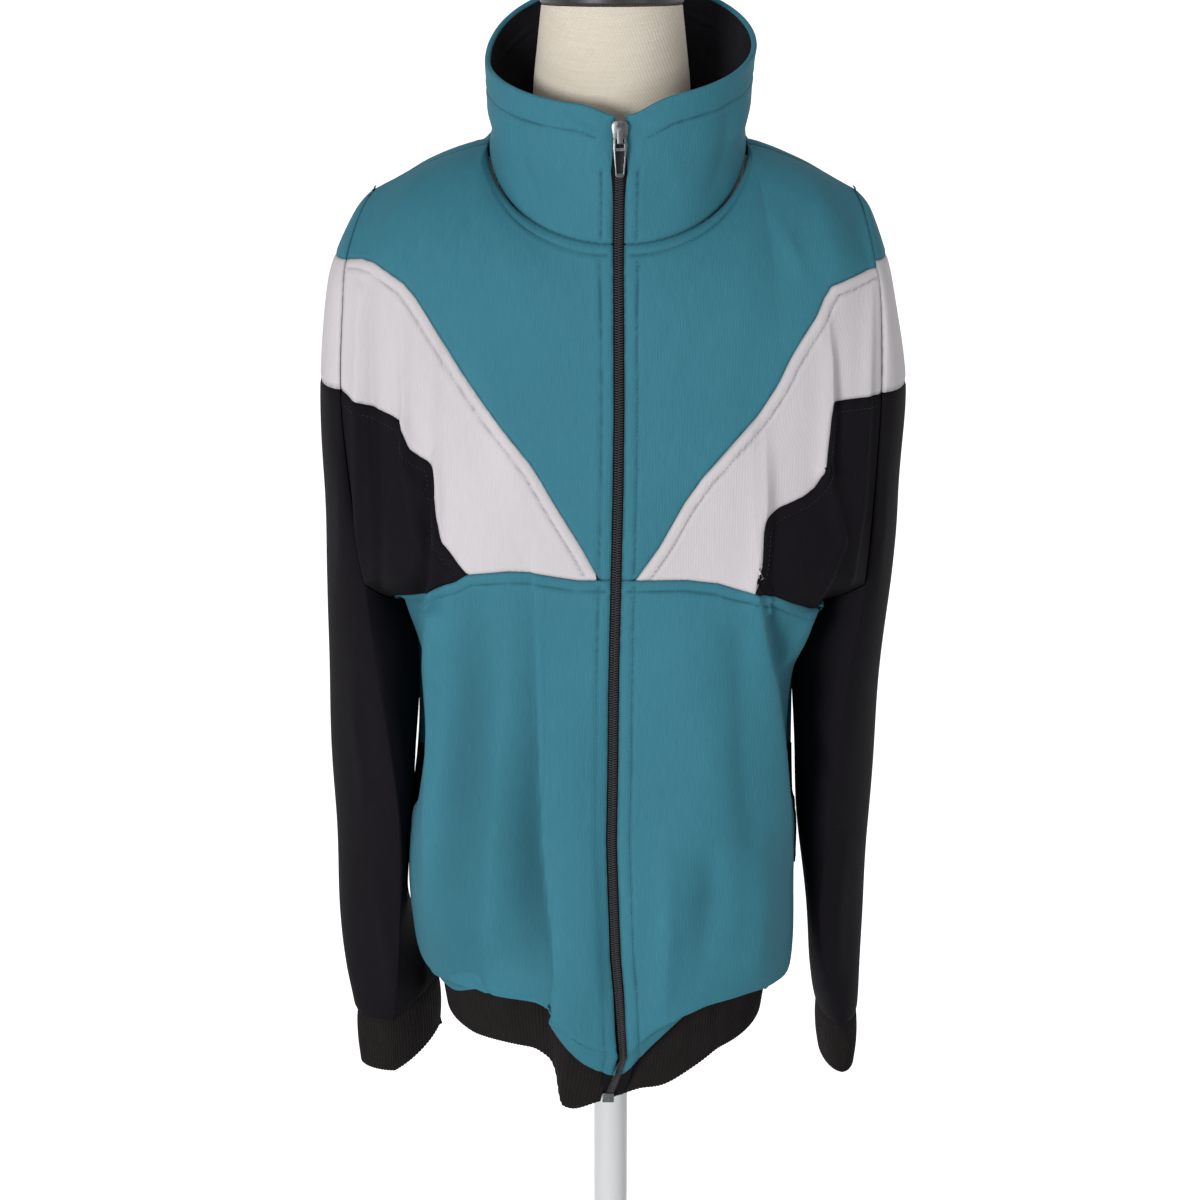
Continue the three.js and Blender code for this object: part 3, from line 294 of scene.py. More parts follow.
cuff_names = "front_x front_y outer_x outer_y back_x back_y inner_x inner_y drop"
cuff_end = {
    "left": table(cuff_names, [169, -45, 180, -8, 167, 35, 155, 0, 38]),
    "right": table(cuff_names, [159, -36, 186, -10, 152, 29, 128, 22, 41]),
}

zip_rows = table(
    "z x y",
    [686, -4.5, -116.5],
    [702, 1.5, -122],
    [724, 8, -129.5],
    [745, 7, -133],
    [775, 5, -136],
    [805, 2.5, -136],
    [842, 1.2, -135],
    [885, -0.2, -133],
    [932, 0.6, -131],
    [1000, 1.2, -128],
    [1063, 2.6, -125],
    [1126, 4, -115],
    [1178, 4.6, -103.5],
    [1224, 4.4, -92],
    [1283, 4.2, -75],
    [1330, 4.6, -74.5],
    [1366, 5.2, -72],
)

# Seams across the front: height by share of the way from the zip to the armhole
seam_rows = {
    "left": {
        "yoke": table("share z", [0, 1067], [0.2, 1067], [0.3, 1064], [0.365, 1059], [0.42, 1056],
                      [0.49, 1051], [0.57, 1043], [0.65, 1036], [0.85, 1032], [1, 1030]),
        "chevron_top": table("share z", [0.045, 1067.5], [0.12, 1091], [0.19, 1117], [0.25, 1134],
                             [0.35, 1156], [0.43, 1173], [0.505, 1193], [0.55, 1208], [0.6, 1221],
                             [0.66, 1234], [0.7, 1246], [0.74, 1254], [0.945, 1263], [1, 1264]),
        "chevron_bottom": table("share z", [0.41, 1057.5], [0.424, 1080], [0.437, 1100], [0.458, 1106],
                                [0.505, 1112], [0.593, 1118], [0.643, 1124], [0.675, 1136], [0.69, 1160],
                                [0.7, 1174], [0.72, 1179], [0.785, 1180], [1, 1181]),
    },
    "right": {
        "yoke": table("share z", [0, 1067], [0.1, 1067], [0.25, 1072], [0.31, 1072], [0.435, 1068],
                      [0.475, 1062], [0.565, 1056], [0.6, 1044], [0.75, 1040], [0.9, 1034], [1, 1030]),
        "chevron_top": table("share z", [0.035, 1067.5], [0.09, 1088], [0.17, 1114], [0.247, 1141],
                             [0.347, 1167], [0.43, 1190], [0.515, 1213], [0.607, 1236], [0.655, 1247],
                             [0.71, 1256], [0.775, 1262], [0.85, 1268], [0.92, 1270], [1, 1269]),
        "chevron_bottom": table("share z", [0.435, 1068.5], [0.475, 1078], [0.525, 1089], [0.545, 1110],
                                [0.556, 1130], [0.57, 1140], [0.605, 1144], [0.64, 1149], [0.655, 1158],
                                [0.68, 1167], [0.73, 1171], [0.82, 1175], [0.915, 1178], [1, 1184]),
    },
}


# The jacket's surfaces, as points in millimetres for arrays of shares and rows

def zip_at(z):
    return look_up(zip_rows, "z", z, "x"), look_up(zip_rows, "z", z, "y")


def sleeve_line(side, line, row):
    rows = sleeve_rows[side]
    at = np.asarray(row, dtype=float)
    inner = line == "inner"
    if inner:
        rows = {name: column[split_row:] for name, column in rows.items()}
        at = np.maximum(at - split_row, 0)
    x = sign_of[side] * smooth_at(rows, line + "_x", at)
    z = smooth_at(rows, "inner_z" if inner else "z", at)
    return np.stack([x, smooth_at(rows, line + "_y", at), z], -1)


def oval_between(front, through, back, share, crease):
    depth = back[..., 1] - front[..., 1]
    safe = np.where(np.abs(depth) > 0.001, depth, 1)
    f = np.where(np.abs(depth) > 0.001, (through[..., 1] - front[..., 1]) / safe, 0.5)
    middle = front + (back - front) * lift(f)
    angle = share * math.pi
    along = np.cos(angle)
    power = np.where(share < 0.5, crease, mix(1, crease, 0.4))
    out = np.maximum(np.sin(angle), 0) ** power
    end = np.where(lift(along) > 0, front, back)
    return middle + (end - middle) * lift(np.abs(along)) + (through - middle) * lift(out)


def sleeve_face(side, face, share, row):
    share, row = np.broadcast_arrays(np.asarray(share, float), np.asarray(row, float))
    front, through, back = (sleeve_line(side, line, row) for line in ("front", face, "back"))
    return oval_between(front, through, back, share, smooth_at(sleeve_rows[side], "crease", row))


def side_point(side, part, row):
    rows = dict(body_rows)
    underarm = sleeve_line(side, "inner", np.array(float(split_row)))
    for name, value in (("half_" + side, abs(underarm[0])), ("side_y", underarm[1]),
                        ("side_z_" + side, underarm[2])):
        column = rows[name][:underarm_row + 1].copy()
        column[underarm_row] = value
        rows[name] = column
    low = np.minimum(row, underarm_row)
    x = sign_of[side] * smooth_at(rows, "half_" + side, low)
    below = np.stack([x, smooth_at(rows, "side_y", low), smooth_at(rows, "side_z_" + side, low)], -1)
    quarter = np.clip((crease_row - row) / (crease_row - underarm_row) / 2, 0, 0.5)
    curve = sleeve_face(side, "inner", quarter if part == "front" else 1 - quarter, float(split_row))
    above = sleeve_line(side, part, top_row - row)
    return np.where(lift(row) <= underarm_row, below, np.where(lift(row) < crease_row, curve, above))


def shoulder_z(t):
    return neck_side_z - shoulder_drop * np.maximum(t, 0) ** 1.35


def top_line(side, part, share):
    s = sign_of[side]
    half = neck_half[side]
    middle_x = zip_at(neck_front_z)[0] + s * zip_opening if part == "front" else 1
    angle = np.clip(share / neck_share, 0, 1) * math.pi / 2
    depth, low_z = (neck_front, neck_front_z) if part == "front" else (neck_back, neck_back_z)
    neck = np.stack([
        middle_x + (s * half - middle_x) * np.sin(angle),
        shoulder_y + (depth - shoulder_y) * np.cos(angle),
        neck_side_z + (low_z - neck_side_z) * np.cos(angle),
    ], -1)
    t = np.clip((share - neck_share) / (1 - neck_share), 0, 1)
    tip_x = sleeve_line(side, "front", np.array(0.0))[0]
    shoulder = np.stack([mix(s * half, tip_x, t), np.full_like(t, shoulder_y), shoulder_z(t)], -1)
    return np.where(lift(share) <= neck_share, neck, shoulder)


def hem_at(side, part, share, name):
    column = name + "_" + side
    at_side = look_up(hem_rows, "share", 1, column)
    if part == "front":
        return np.interp(share, hem_shares, soft_hem[column])
    if name == "forward":
        return np.zeros_like(share)
    return mix(back_hem if name == "hem" else back_fold, at_side, ease(share))


hem_shares = np.linspace(0, 1, 61)
soft_hem = {
    column: softened(np.interp(hem_shares, hem_rows["share"], hem_rows[column]))
    for column in hem_rows if column != "share"
}


def body_base(side, part, share, row):
    share, row = np.broadcast_arrays(np.asarray(share, float), np.asarray(row, float))
    s = sign_of[side]
    edge = side_point(side, part, row)
    middle_z = smooth_at(body_rows, part + "_z", row)
    middle_y = smooth_at(body_rows, part + "_y", row)
    middle_x = zip_at(middle_z)[0] + s * zip_opening if part == "front" else np.ones_like(row)
    square = smooth_at(body_rows, part + "_square", row)
    end = np.radians(smooth_at(body_rows, part + "_end", row))

    def reach(turn):
        return (np.abs(np.sin(turn)) ** square + np.abs(np.cos(turn)) ** square) ** (-1 / square)

    angle = share * end
    across = np.sin(angle) * reach(angle) / (np.sin(end) * reach(end))
    low = np.cos(end) * reach(end)
    depth = (np.cos(angle) * reach(angle) - low) / (1 - low)
    x = mix(middle_x, edge[..., 0], across)
    y = mix(edge[..., 1], middle_y, depth)
    z = mix(middle_z, edge[..., 2], share * share)
    z = np.where(row < hanging_row, hanging_z(side, part, share, row, z), z)
    if part == "front":
        y = y - hem_at(side, part, share, "forward") * (1 - ease((row - 1) / 5)) * (row < 6)
    point = np.stack([x, y, z], -1)
    top_share = np.clip(smooth_at(body_rows, "top_share", row), 0, 1) * (row > shoulder_row)
    top = top_line(side, part, share)
    out = np.clip((share - neck_share) / (1 - neck_share), 0, 1) ** 1.5
    inward = np.clip(1 - share / neck_share, 0, 1) ** 1.5
    ones = np.ones_like(share)
    top = top + (edge - top_line(side, part, ones)) * lift(out)
    middle = np.stack([middle_x, middle_y, middle_z], -1)
    top = top + (middle - top_line(side, part, 0 * ones)) * lift(inward)
    point = point + (top - point) * lift(top_share)
    roll = shoulder_roll * np.sin(math.pi * top_share) * ease(share / neck_share) * ease((1 - share) / 0.25)
    point[..., 1] += (-0.7 if part == "front" else 0.7) * roll
    point[..., 2] += 0.7 * roll
    return point


def hanging_z(side, part, share, row, z):
    hang_height = 17
    fold = hem_at(side, part, share, "fold")
    h0 = hem_at(side, part, share, "hem") + band_height
    h1, h2 = fold, fold + hang_height
    h3 = z
    slopes = [(h1 - h0) / 2, 0 * h0, (h3 - h1) / 2.6, (h3 - h2) * 0.8]
    heights = [h0, h1, h2, h3]
    i = np.clip(np.floor(row).astype(int), 0, 2)
    f = np.clip(row - i, 0, 1)
    pieces = [hermite(heights[k], heights[k + 1], slopes[k], slopes[k + 1], f) for k in range(3)]
    return np.select([i == 0, i == 1], pieces[:2], pieces[2])


def outward_of(at, a, b, step_a, step_b, flip):
    da = at(a + step_a, b) - at(a - step_a, b)
    db = at(a, b + step_b) - at(a, b - step_b)
    return unit(np.cross(da, db) * flip)


def body_outward(side, part, share, row):
    flip = sign_of[side] * (1 if part == "front" else -1)
    a = np.clip(share, 0.004, 0.996)
    b = np.clip(row, 0.02, top_row - 0.06)
    return outward_of(lambda p, q: body_base(side, part, p, q), a, b, 0.003, 0.015, flip)


def sleeve_outward(side, face, share, row):
    flip = sign_of[side] * (-1 if face == "outer" else 1)
    a = np.clip(share, 0.02, 0.98)
    b = np.clip(row, 0.3 if face == "outer" else 6.05, sleeve_end - 0.03)
    return outward_of(lambda p, q: sleeve_face(side, face, p, q), a, b, 0.01, 0.02, flip)


# Folds, as they lie in the photograph. Each is a line of places in the photograph's pixels with its
# height there in millimetres, and its width in pixels to the left and right of the line.

def fold(left, right, *places):
    return left, right, np.array(places, dtype=float)


body_folds = [
    fold(2.5, 44, (535, 590, 0.6), (538, 700, 2.4), (543, 838, 3), (549, 900, 3.6), (555, 956, 4),
         (556, 1010, 4)),
    fold(36, 2.5, (530, 590, -1), (533, 700, -3), (538, 838, -6), (543, 890, -6), (549, 940, -4.5),
         (551, 982, -1)),
    fold(13, 26, (508, 600, 0), (503, 700, 2), (490, 850, 3.2), (486, 930, 3), (492, 985, 1.5)),
    fold(16, 16, (470, 600, -1.5), (470, 700, -3), (458, 800, -2), (452, 880, -1)),
    fold(3, 12, (431, 590, 3), (431, 660, 4.2), (431, 730, 4), (425, 815, 3), (422, 900, 1)),
    fold(16, 4, (418, 600, -3), (414, 670, -5), (417, 740, -5), (410, 800, -3)),
    fold(14, 3, (758, 592, 2), (764, 640, 3.2), (773, 690, 4), (779, 740, 3.6), (784, 800, 3), (789, 861, 1)),
    fold(4, 14, (772, 620, -4), (780, 660, -5), (786, 720, -5), (792, 790, -3)),
    fold(14, 14, (738, 640, -1.2), (742, 760, -2), (752, 840, -1.6)),
    fold(5, 5, (812, 604, 3), (803, 624, 4), (792, 655, 4), (780, 678, 2)),
    fold(10, 14, (664, 830, 0), (666, 880, 1.4), (667, 940, 2.8), (662, 1000, 2.4)),
    fold(18, 12, (712, 830, 0), (710, 900, -3.2), (702, 965, -1)),
    fold(60, 42, (490, 640, -1), (482, 800, -3.5), (484, 950, -3.5)),
    fold(14, 14, (762, 830, 0), (764, 900, 2.4), (758, 960, 2.4)),
    fold(26, 26, (575, 720, 1.2), (578, 860, 2.2), (590, 980, 2)),
    fold(30, 40, (700, 660, 0.8), (716, 780, 1.8), (730, 860, 1.2)),
    fold(7, 4, (360, 290, 1), (357, 400, 2.4), (360, 500, 2.6), (363, 590, 2)),
    fold(5, 8, (370, 280, -1), (369, 400, -2.2), (374, 500, -2.6), (378, 585, -1.6)),
    fold(3.5, 8, (400, 300, 0), (404, 410, 2.2), (405, 450, 2.6), (412, 520, 1.6), (423, 560, 1.2)),
    fold(4, 9, (401, 425, 2), (407, 474, 2.6), (431, 516, 1.2)),
    fold(3, 8, (435, 455, 1), (436, 500, 3), (434, 560, 3), (431, 604, 3)),
    fold(8, 3, (427, 470, -1.2), (427, 540, -3), (423, 600, -3)),
    fold(16, 22, (470, 330, 0), (500, 420, 1.6), (520, 500, 0.8)),
    fold(8, 3.5, (826, 300, 0), (831, 360, 1.8), (831, 420, 2.6), (827, 470, 2.4)),
    fold(3, 8, (838, 320, 0), (840, 400, -2), (837, 470, -2)),
    fold(7, 4, (827, 472, 2), (834, 498, 2.4), (843, 541, 2.4), (830, 575, 2), (817, 598, 2)),
    fold(12, 5, (765, 420, 0), (766, 500, 1.8), (762, 560, 2.2), (758, 590, 2.4)),
    fold(4, 14, (776, 440, 0), (778, 520, -1.6), (772, 585, -2)),
    fold(26, 26, (740, 330, 0), (735, 420, 1.4), (720, 500, 0.6)),
    fold(7, 4, (873, 280, 0.5), (868, 400, 2), (862, 500, 2.2), (850, 580, 1.6)),
    fold(9, 9, (480, 200, 0), (455, 250, 1.4), (432, 300, 0)),
    fold(9, 9, (766, 200, 0), (792, 250, 1.4), (812, 296, 0)),
]
collar_folds = [
    fold(7, 7, (500, 140, 0.6), (508, 175, 2), (524, 212, 0.6)),
    fold(6, 6, (516, 125, -0.5), (523, 165, -1.6), (540, 205, -0.4)),
    fold(10, 6, (556, 110, 0.8), (580, 128, 1.8), (600, 136, 0.8)),
    fold(8, 8, (748, 80, 0.5), (742, 120, 1.8), (728, 180, 0.6)),
    fold(7, 7, (730, 95, -0.4), (726, 140, -1.5), (712, 185, -0.4)),
    fold(12, 12, (660, 140, 0), (676, 170, 1.2), (690, 205, 0.2)),
]
sleeve_folds = [
    fold(8, 5, (352, 640, 0), (357, 720, 2), (366, 800, 1.4)),
    fold(6, 10, (395, 700, 0), (404, 760, 2), (410, 830, 2.2), (404, 900, 1)),
    fold(10, 6, (372, 860, 0), (385, 920, 2.4), (394, 990, 2.4)),
    fold(6, 12, (420, 880, 0), (424, 930, 2.4), (425, 985, 2)),
    fold(8, 8, (800, 680, 1), (815, 715, 2.6), (832, 748, 1)),
    fold(8, 8, (806, 740, -0.5), (820, 765, -2), (838, 790, -0.5)),
    fold(6, 8, (845, 840, 0.5), (838, 900, 2), (834, 970, 1.8)),
    fold(5, 8, (340, 440, 0.5), (342, 500, 1.4), (338, 580, 0.5)),
    fold(8, 5, (886, 440, 0.5), (882, 520, 1.6), (876, 600, 0.5)),
]
# Drapes of the back: share of the way from the middle to the side, and row, at both ends
back_folds = table(
    "side share0 row0 share1 row1 width height",
    [1, 0.48, 12.5, 0.4, 1.6, 0.07, 5],
    [1, 0.72, 10, 0.62, 2, 0.05, -4],
    [1, 0.16, 7, 0.2, 1.5, 0.06, -4],
    [-1, 0.52, 12.2, 0.44, 1.6, 0.07, 5],
    [-1, 0.3, 8, 0.26, 1.5, 0.06, -4.5],
    [-1, 0.08, 10, 0.06, 1.5, 0.05, 4],
    [-1, 0.74, 9.5, 0.68, 2.4, 0.05, -4],
)


def photo_place(points):
    x, y, z = (points[..., i] - camera_place[i] for i in range(3))
    far = y * math.cos(camera_pitch) - z * math.sin(camera_pitch)
    low = -z * math.cos(camera_pitch) - y * math.sin(camera_pitch)
    return photo_size / 2 + focal_px * x / far, photo_size / 2 + focal_px * low / far


def fold_height(points, folds):
    px, py = photo_place(points)
    total = np.zeros_like(px)
    for left, right, places in folds:
        best = np.full_like(px, 1e9)
        height = np.zeros_like(px)
        beside = np.zeros_like(px)
        for (x0, y0, h0), (x1, y1, h1) in zip(places[:-1], places[1:]):
            length2 = (x1 - x0) ** 2 + (y1 - y0) ** 2
            t = np.clip(((px - x0) * (x1 - x0) + (py - y0) * (y1 - y0)) / length2, 0, 1)
            away = np.hypot(px - mix(x0, x1, t), py - mix(y0, y1, t))
            nearer = away < best
            best = np.where(nearer, away, best)
            height = np.where(nearer, mix(h0, h1, t), height)
            beside = np.where(nearer, (px - mix(x0, x1, t)) * np.sign(y1 - y0), beside)
        width = np.where(beside < 0, left, right)
        total += height * np.exp(-np.abs(best / width) ** 1.8)
    return total


def drape_height(side, share, row):
    total = np.zeros_like(share)
    for i, fold_side in enumerate(back_folds["side"]):
        if fold_side != sign_of[side]:
            continue
        s0, r0, s1, r1, width, height = (back_folds[k][i] for k in
                                         ("share0", "row0", "share1", "row1", "width", "height"))
        t = np.clip((row - r0) / (r1 - r0), 0, 1)
        away = (share - mix(s0, s1, t)) / width
        total += height * np.exp(-away * away) * np.sin(math.pi * np.sqrt(t))
    return total


def soft_waves(points):
    x, y, z = (points[..., i] / 100 for i in range(3))
    waves = np.sin(7.1 * x + 1.3 * z + 2 * np.sin(1.7 * z)) + np.sin(4.3 * z - 2.9 * x + 1.9 * y)
    return 0.28 * (waves + np.sin(11 * x - 5 * z + 3 * y) * 0.5)


def body_cloth(side, part, share, row):
    share, row = np.broadcast_arrays(np.asarray(share, float), np.asarray(row, float))
    base = body_base(side, part, share, row)
    outward = body_outward(side, part, share, row)
    if part == "front":
        out = fold_gain * fold_height(base, body_folds)
    else:
        out = drape_height(side, share, row)
    fade = ease(share / 0.05) * ease((1 - share) / 0.05) * ease((top_row - row) / 0.8)
    out = (out + soft_waves(base)) * fade * ease(row / 0.8)
    return base + outward * lift(out)


def sleeve_cloth(side, face, share, row):
    share, row = np.broadcast_arrays(np.asarray(share, float), np.asarray(row, float))
    base = sleeve_face(side, face, share, row)
    outward = sleeve_outward(side, face, share, row)
    facing = ease((0.62 - share) / 0.3)
    out = fold_height(base, sleeve_folds) * facing + 1.6 * soft_waves(base)
    edge = ease(share / 0.08) * ease((1 - share) / 0.08)
    fade = np.where(row > split_row + 0.6, 1, edge)
    ends = ease((sleeve_end - row) / 0.5) * ease((row - 0.2) / 1.2)
    return base + outward * lift(out * fade * ends)


def row_at_height(side, part, share, z):
    low = np.full_like(share, 2.6)
    high = np.full_like(share, float(top_row))
    for _ in range(24):
        middle = (low + high) / 2
        under = body_base(side, part, share, middle)[..., 2] < z
        low, high = np.where(under, middle, low), np.where(under, high, middle)
    return (low + high) / 2


def seam_row(side, name, share):
    rows = seam_rows[side][name]
    fine = np.linspace(0, 1, 401)
    heights = softened(np.interp(fine, rows["share"], rows["z"]), 6)
    return row_at_height(side, "front", share, np.interp(share, fine, heights))


# Meshes from grids of points

def normals_of(grid, flip, wrap=False):
    if wrap:
        padded = np.concatenate([grid[:, -2:-1], grid, grid[:, 1:2]], axis=1)
        across = padded[:, 2:] - padded[:, :-2]
    else:
        across = np.gradient(grid, axis=1)
    along = np.gradient(grid, axis=0)
    return unit(np.cross(across, along) * flip)


# Place on the cloth in metres: across it on the level from one column, and along it
def arc_uv(grid, from_column=0, start=0.0):
    across = np.linalg.norm(np.diff(grid, axis=1)[..., :2], axis=-1).cumsum(axis=1)
    along = np.linalg.norm(np.diff(grid, axis=0), axis=-1).cumsum(axis=0)
    u = np.concatenate([np.zeros((grid.shape[0], 1)), across], axis=1)
    u = u - u[:, from_column:from_column + 1] + np.reshape(start, (-1, 1))
    v = np.concatenate([np.zeros((1, grid.shape[1])), along], axis=0)
    return np.stack([u, v], -1) * METRE


def near_line(points, line):
    shape = points.shape[:-1]
    flat = points.reshape(-1, 3)
    best = np.full(len(flat), 1e9)
    for start in range(0, len(line), 40):
        part = line[start:start + 40]
        away = ((flat[:, None] - part[None]) ** 2).sum(-1).min(axis=1)
        best = np.minimum(best, away)
    return np.sqrt(best).reshape(shape)


def arc_along(points):
    return np.concatenate([[0], np.linalg.norm(np.diff(points, axis=0), axis=1).cumsum()])


def at_arc(values, arc, at):
    return np.stack([np.interp(at, arc, values[:, i]) for i in range(3)], -1)


def dense_line(points, step=1.5):
    arc = arc_along(points)
    count = max(int(arc[-1] / step), 2)
    return at_arc(points, arc, np.linspace(0, arc[-1], count + 1))


def linked(name, data):
    thing = bpy.data.objects.new(name, data)
    bpy.context.scene.collection.objects.link(thing)
    return thing


def new_object(name, vertices, faces, uv):
    mesh = bpy.data.meshes.new(name)
    mesh.from_pydata((np.asarray(vertices) * METRE).tolist(), [], faces)
    layer = mesh.uv_layers.new(name="cloth")
    layer.data.foreach_set("uv", np.asarray(uv, dtype=np.float32).ravel())
    mesh.polygons.foreach_set("use_smooth", [True] * len(mesh.polygons))
    mesh.set_sharp_from_angle(angle=math.radians(55))
    mesh.update()
    return linked(name, mesh)


# Carries the edges of a panel on a little under its neighbours, so that no seam gapes.
def tucked(grid, normals, groove, reach):

    def carried(edge, next_in, out, by):
        return edge + unit(edge - next_in) * by - out * lip_depth

    def doubled(values, axis):
        first, last = (np.take(values, [at], axis) for at in (0, -1))
        return np.concatenate([first, values, last], axis)

    low = carried(grid[0], grid[1], normals[0], reach[0])[None]
    high = carried(grid[-1], grid[-2], normals[-1], reach[1])[None]
    grid = np.concatenate([low, grid, high])
    normals, groove = doubled(normals, 0), doubled(groove, 0)
    first = carried(grid[:, 0], grid[:, 1], normals[:, 0], side_reach)[:, None]
    last = carried(grid[:, -1], grid[:, -2], normals[:, -1], side_reach)[:, None]
    return np.concatenate([first, grid, last], axis=1), doubled(normals, 1), doubled(groove, 1)


# A shell: the grid is its outside, and wraps round a tube where wrap is true.
def shell(name, grid, normals, wall, wrap=False, groove=None, tuck=None, from_column=0, start=0.0):
    groove = np.zeros(grid.shape[:2]) if groove is None else groove
    if tuck is not None:
        if np.ndim(start):
            start = np.concatenate([start[:1], start, start[-1:]])
        grid, normals, groove = tucked(grid, normals, groove, tuck)
        from_column += 1
    uv = arc_uv(grid, from_column, start)
    rows, columns = grid.shape[0] - 1, grid.shape[1] - 1
    used = columns if wrap else columns + 1
    outer = grid[:, :used].reshape(-1, 3)
    inner = (grid - normals * wall)[:, :used].reshape(-1, 3)
    count = len(outer)
    i, j = np.meshgrid(np.arange(rows), np.arange(columns), indexing="ij")
    i, j = i.ravel(), j.ravel()
    right = (j + 1) % used
    a, b = i * used + j, i * used + right
    c, d = (i + 1) * used + right, (i + 1) * used + j
    quads = [np.stack([a, b, c, d], -1), np.stack([a, d, c, b], -1) + count]
    corners = [uv[i, j], uv[i, j + 1], uv[i + 1, j + 1], uv[i + 1, j]]
    quads_uv = [np.stack(corners, 1), np.stack(corners[:1] + corners[:0:-1], 1)]
    rims = []
    rim_uv = []

    def rim(line, uv_line, turned):
        p, q = line[:-1], line[1:]
        face = [p, p + count, q + count, q] if turned else [p, q, q + count, p + count]
        rims.append(np.stack(face, -1))
        s, t = uv_line[:-1], uv_line[1:]
        rim_uv.append(np.stack([s, s, t, t] if turned else [s, t, t, s], 1))

    bottom = np.concatenate([np.arange(used), [0] if wrap else []]).astype(int)
    top = bottom + rows * used
    rim(bottom, uv[0, :len(bottom)], True)
    rim(top, uv[rows, :len(top)], False)
    if not wrap:
        left = np.arange(rows + 1) * used
        rim(left, uv[:, 0], False)
        rim(left + columns, uv[:, columns], True)
    faces = np.concatenate(quads + rims)
    face_uv = np.concatenate(quads_uv + rim_uv)
    facing = np.cross(outer[b[0]] - outer[a[0]], outer[c[0]] - outer[a[0]])
    if facing @ normals[0, 0] < 0:
        faces = faces[:, ::-1]
        face_uv = face_uv[:, ::-1]
    piece = new_object(name, np.concatenate([outer, inner]), faces.tolist(), face_uv.reshape(-1, 2))
    store_painted_shade(piece, np.concatenate([groove[:, :used].ravel(), np.zeros(count)]))
    return piece


# Painted shade: how much each place is darkened in the material, along seams and stitch lines and in the
# hollows of folds
def store_painted_shade(piece, values):
    attribute = piece.data.attributes.new("groove", "FLOAT", "POINT")
    attribute.data.foreach_set("value", np.asarray(values, dtype=np.float32))


stitch_runs = {"teal": [], "pale": [], "black": []}


# Dips the cloth along its seams and stitch lines, paints shade into the dips, and keeps the stitch runs for
# sewing later.
def sewn(grid, flip, seams, runs=(), colour=None):

    def bell(away, width):
        return np.exp(-(away / width) ** 2)

    normals = normals_of(grid, flip)
    dip = np.zeros(grid.shape[:2])
    groove = np.zeros(grid.shape[:2])
    for line in seams:
        away = near_line(grid, dense_line(line))
        dip -= seam_dip * bell(away, seam_width)
        # Painted shade along the seam's dip
        groove = np.maximum(groove, seam_shade * bell(away, shade_width))
    lines = []
    for seam, gauge in runs:
        path = offset_run(dense_line(seam, 2.0), grid, normals, gauge)
        if len(path) < 4:
            continue
        away = near_line(grid, path)
        dip -= stitch_dip * bell(away, stitch_width)
        dip += puff_height * bell(away - puff_place, puff_width)
        # Painted shade along the stitch line's dip
        groove = np.maximum(groove, stitch_shade * bell(away, shade_width))
        lines.append(path)
    grid = grid + normals * lift(dip)
    tree = tree_of(grid)
    for path in lines:
        stitch_runs[colour].append(on_surface(path, tree))
    return grid, normals_of(grid, flip), groove


def tree_of(grid):
    rows, columns = grid.shape[:2]
    faces = [(k, k + 1, k + columns + 1, k + columns)
             for i in range(rows - 1) for k in range(i * columns, (i + 1) * columns - 1)]
    return BVHTree.FromPolygons(grid.reshape(-1, 3).tolist(), faces)


# The line that runs a gauge's width in from a seam, over the cloth.
def offset_run(line, grid, normals, gauge):
    flat, flat_normals = grid.reshape(-1, 3), normals.reshape(-1, 3)
    tangent = unit(np.gradient(line, axis=0))
    nearest = np.array([np.argmin(((flat - p) ** 2).sum(-1)) for p in line])
    inward = np.cross(flat_normals[nearest], tangent)
    on_cloth, off_cloth = (near_line(line[::8] + way * inward[::8] * gauge, flat).sum() for way in (1, -1))
    if off_cloth < on_cloth:
        inward = -inward
    path = line + unit(softened(inward, 6)) * gauge
    path = path[near_line(path, line) > gauge * 0.8]
    trim = int(gauge * 0.3)
    return path[trim:len(path) - trim] if len(path) > 2 * trim + 4 else path


def on_surface(path, tree):
    points, outs = [], []
    for p in path:
        place, normal, _, _ = tree.find_nearest(Vector(p))
        points.append(place)
        outs.append(normal)
    return np.array(points), np.array(outs)


def stand_in(piece, node, body=BODY):
    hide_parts(node)
    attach(piece, body)


def wear(piece, finish, node):
    dress(piece, finish)
    stand_in(piece, node)


# The cut of a piece, measured over its cloth: its widest row and longest column, and its flat area
def cut_of(grid):
    across = np.linalg.norm(np.diff(grid, axis=1), axis=-1).sum(axis=1).max() * METRE
    along = np.linalg.norm(np.diff(grid, axis=0), axis=-1).sum(axis=0).max() * METRE
    e1, e2 = np.diff(grid, axis=1)[:-1], np.diff(grid, axis=0)[:, :-1]
    area = np.linalg.norm(np.cross(e1, e2), axis=-1).sum() * METRE ** 2
    return across, along, area


# Materials: one class wraps a socket, so that shader maths reads as Python

class Value:
    def __init__(self, finish, socket):
        self.finish = finish
        self.socket = socket

    def _math(self, operation, *values):
        return self.finish.out("ShaderNodeMath", {"operation": operation}, values)

    def __add__(self, other):
        return self._math("ADD", self, other)

    def __sub__(self, other):
        return self._math("SUBTRACT", self, other)

    def __rsub__(self, other):
        return self._math("SUBTRACT", other, self)

    def __mul__(self, other):
        return self._math("MULTIPLY", self, other)

    __radd__ = __add__
    __rmul__ = __mul__

    def sine(self):
        return self._math("SINE", self)

    def size(self):
        return self._math("ABSOLUTE", self)


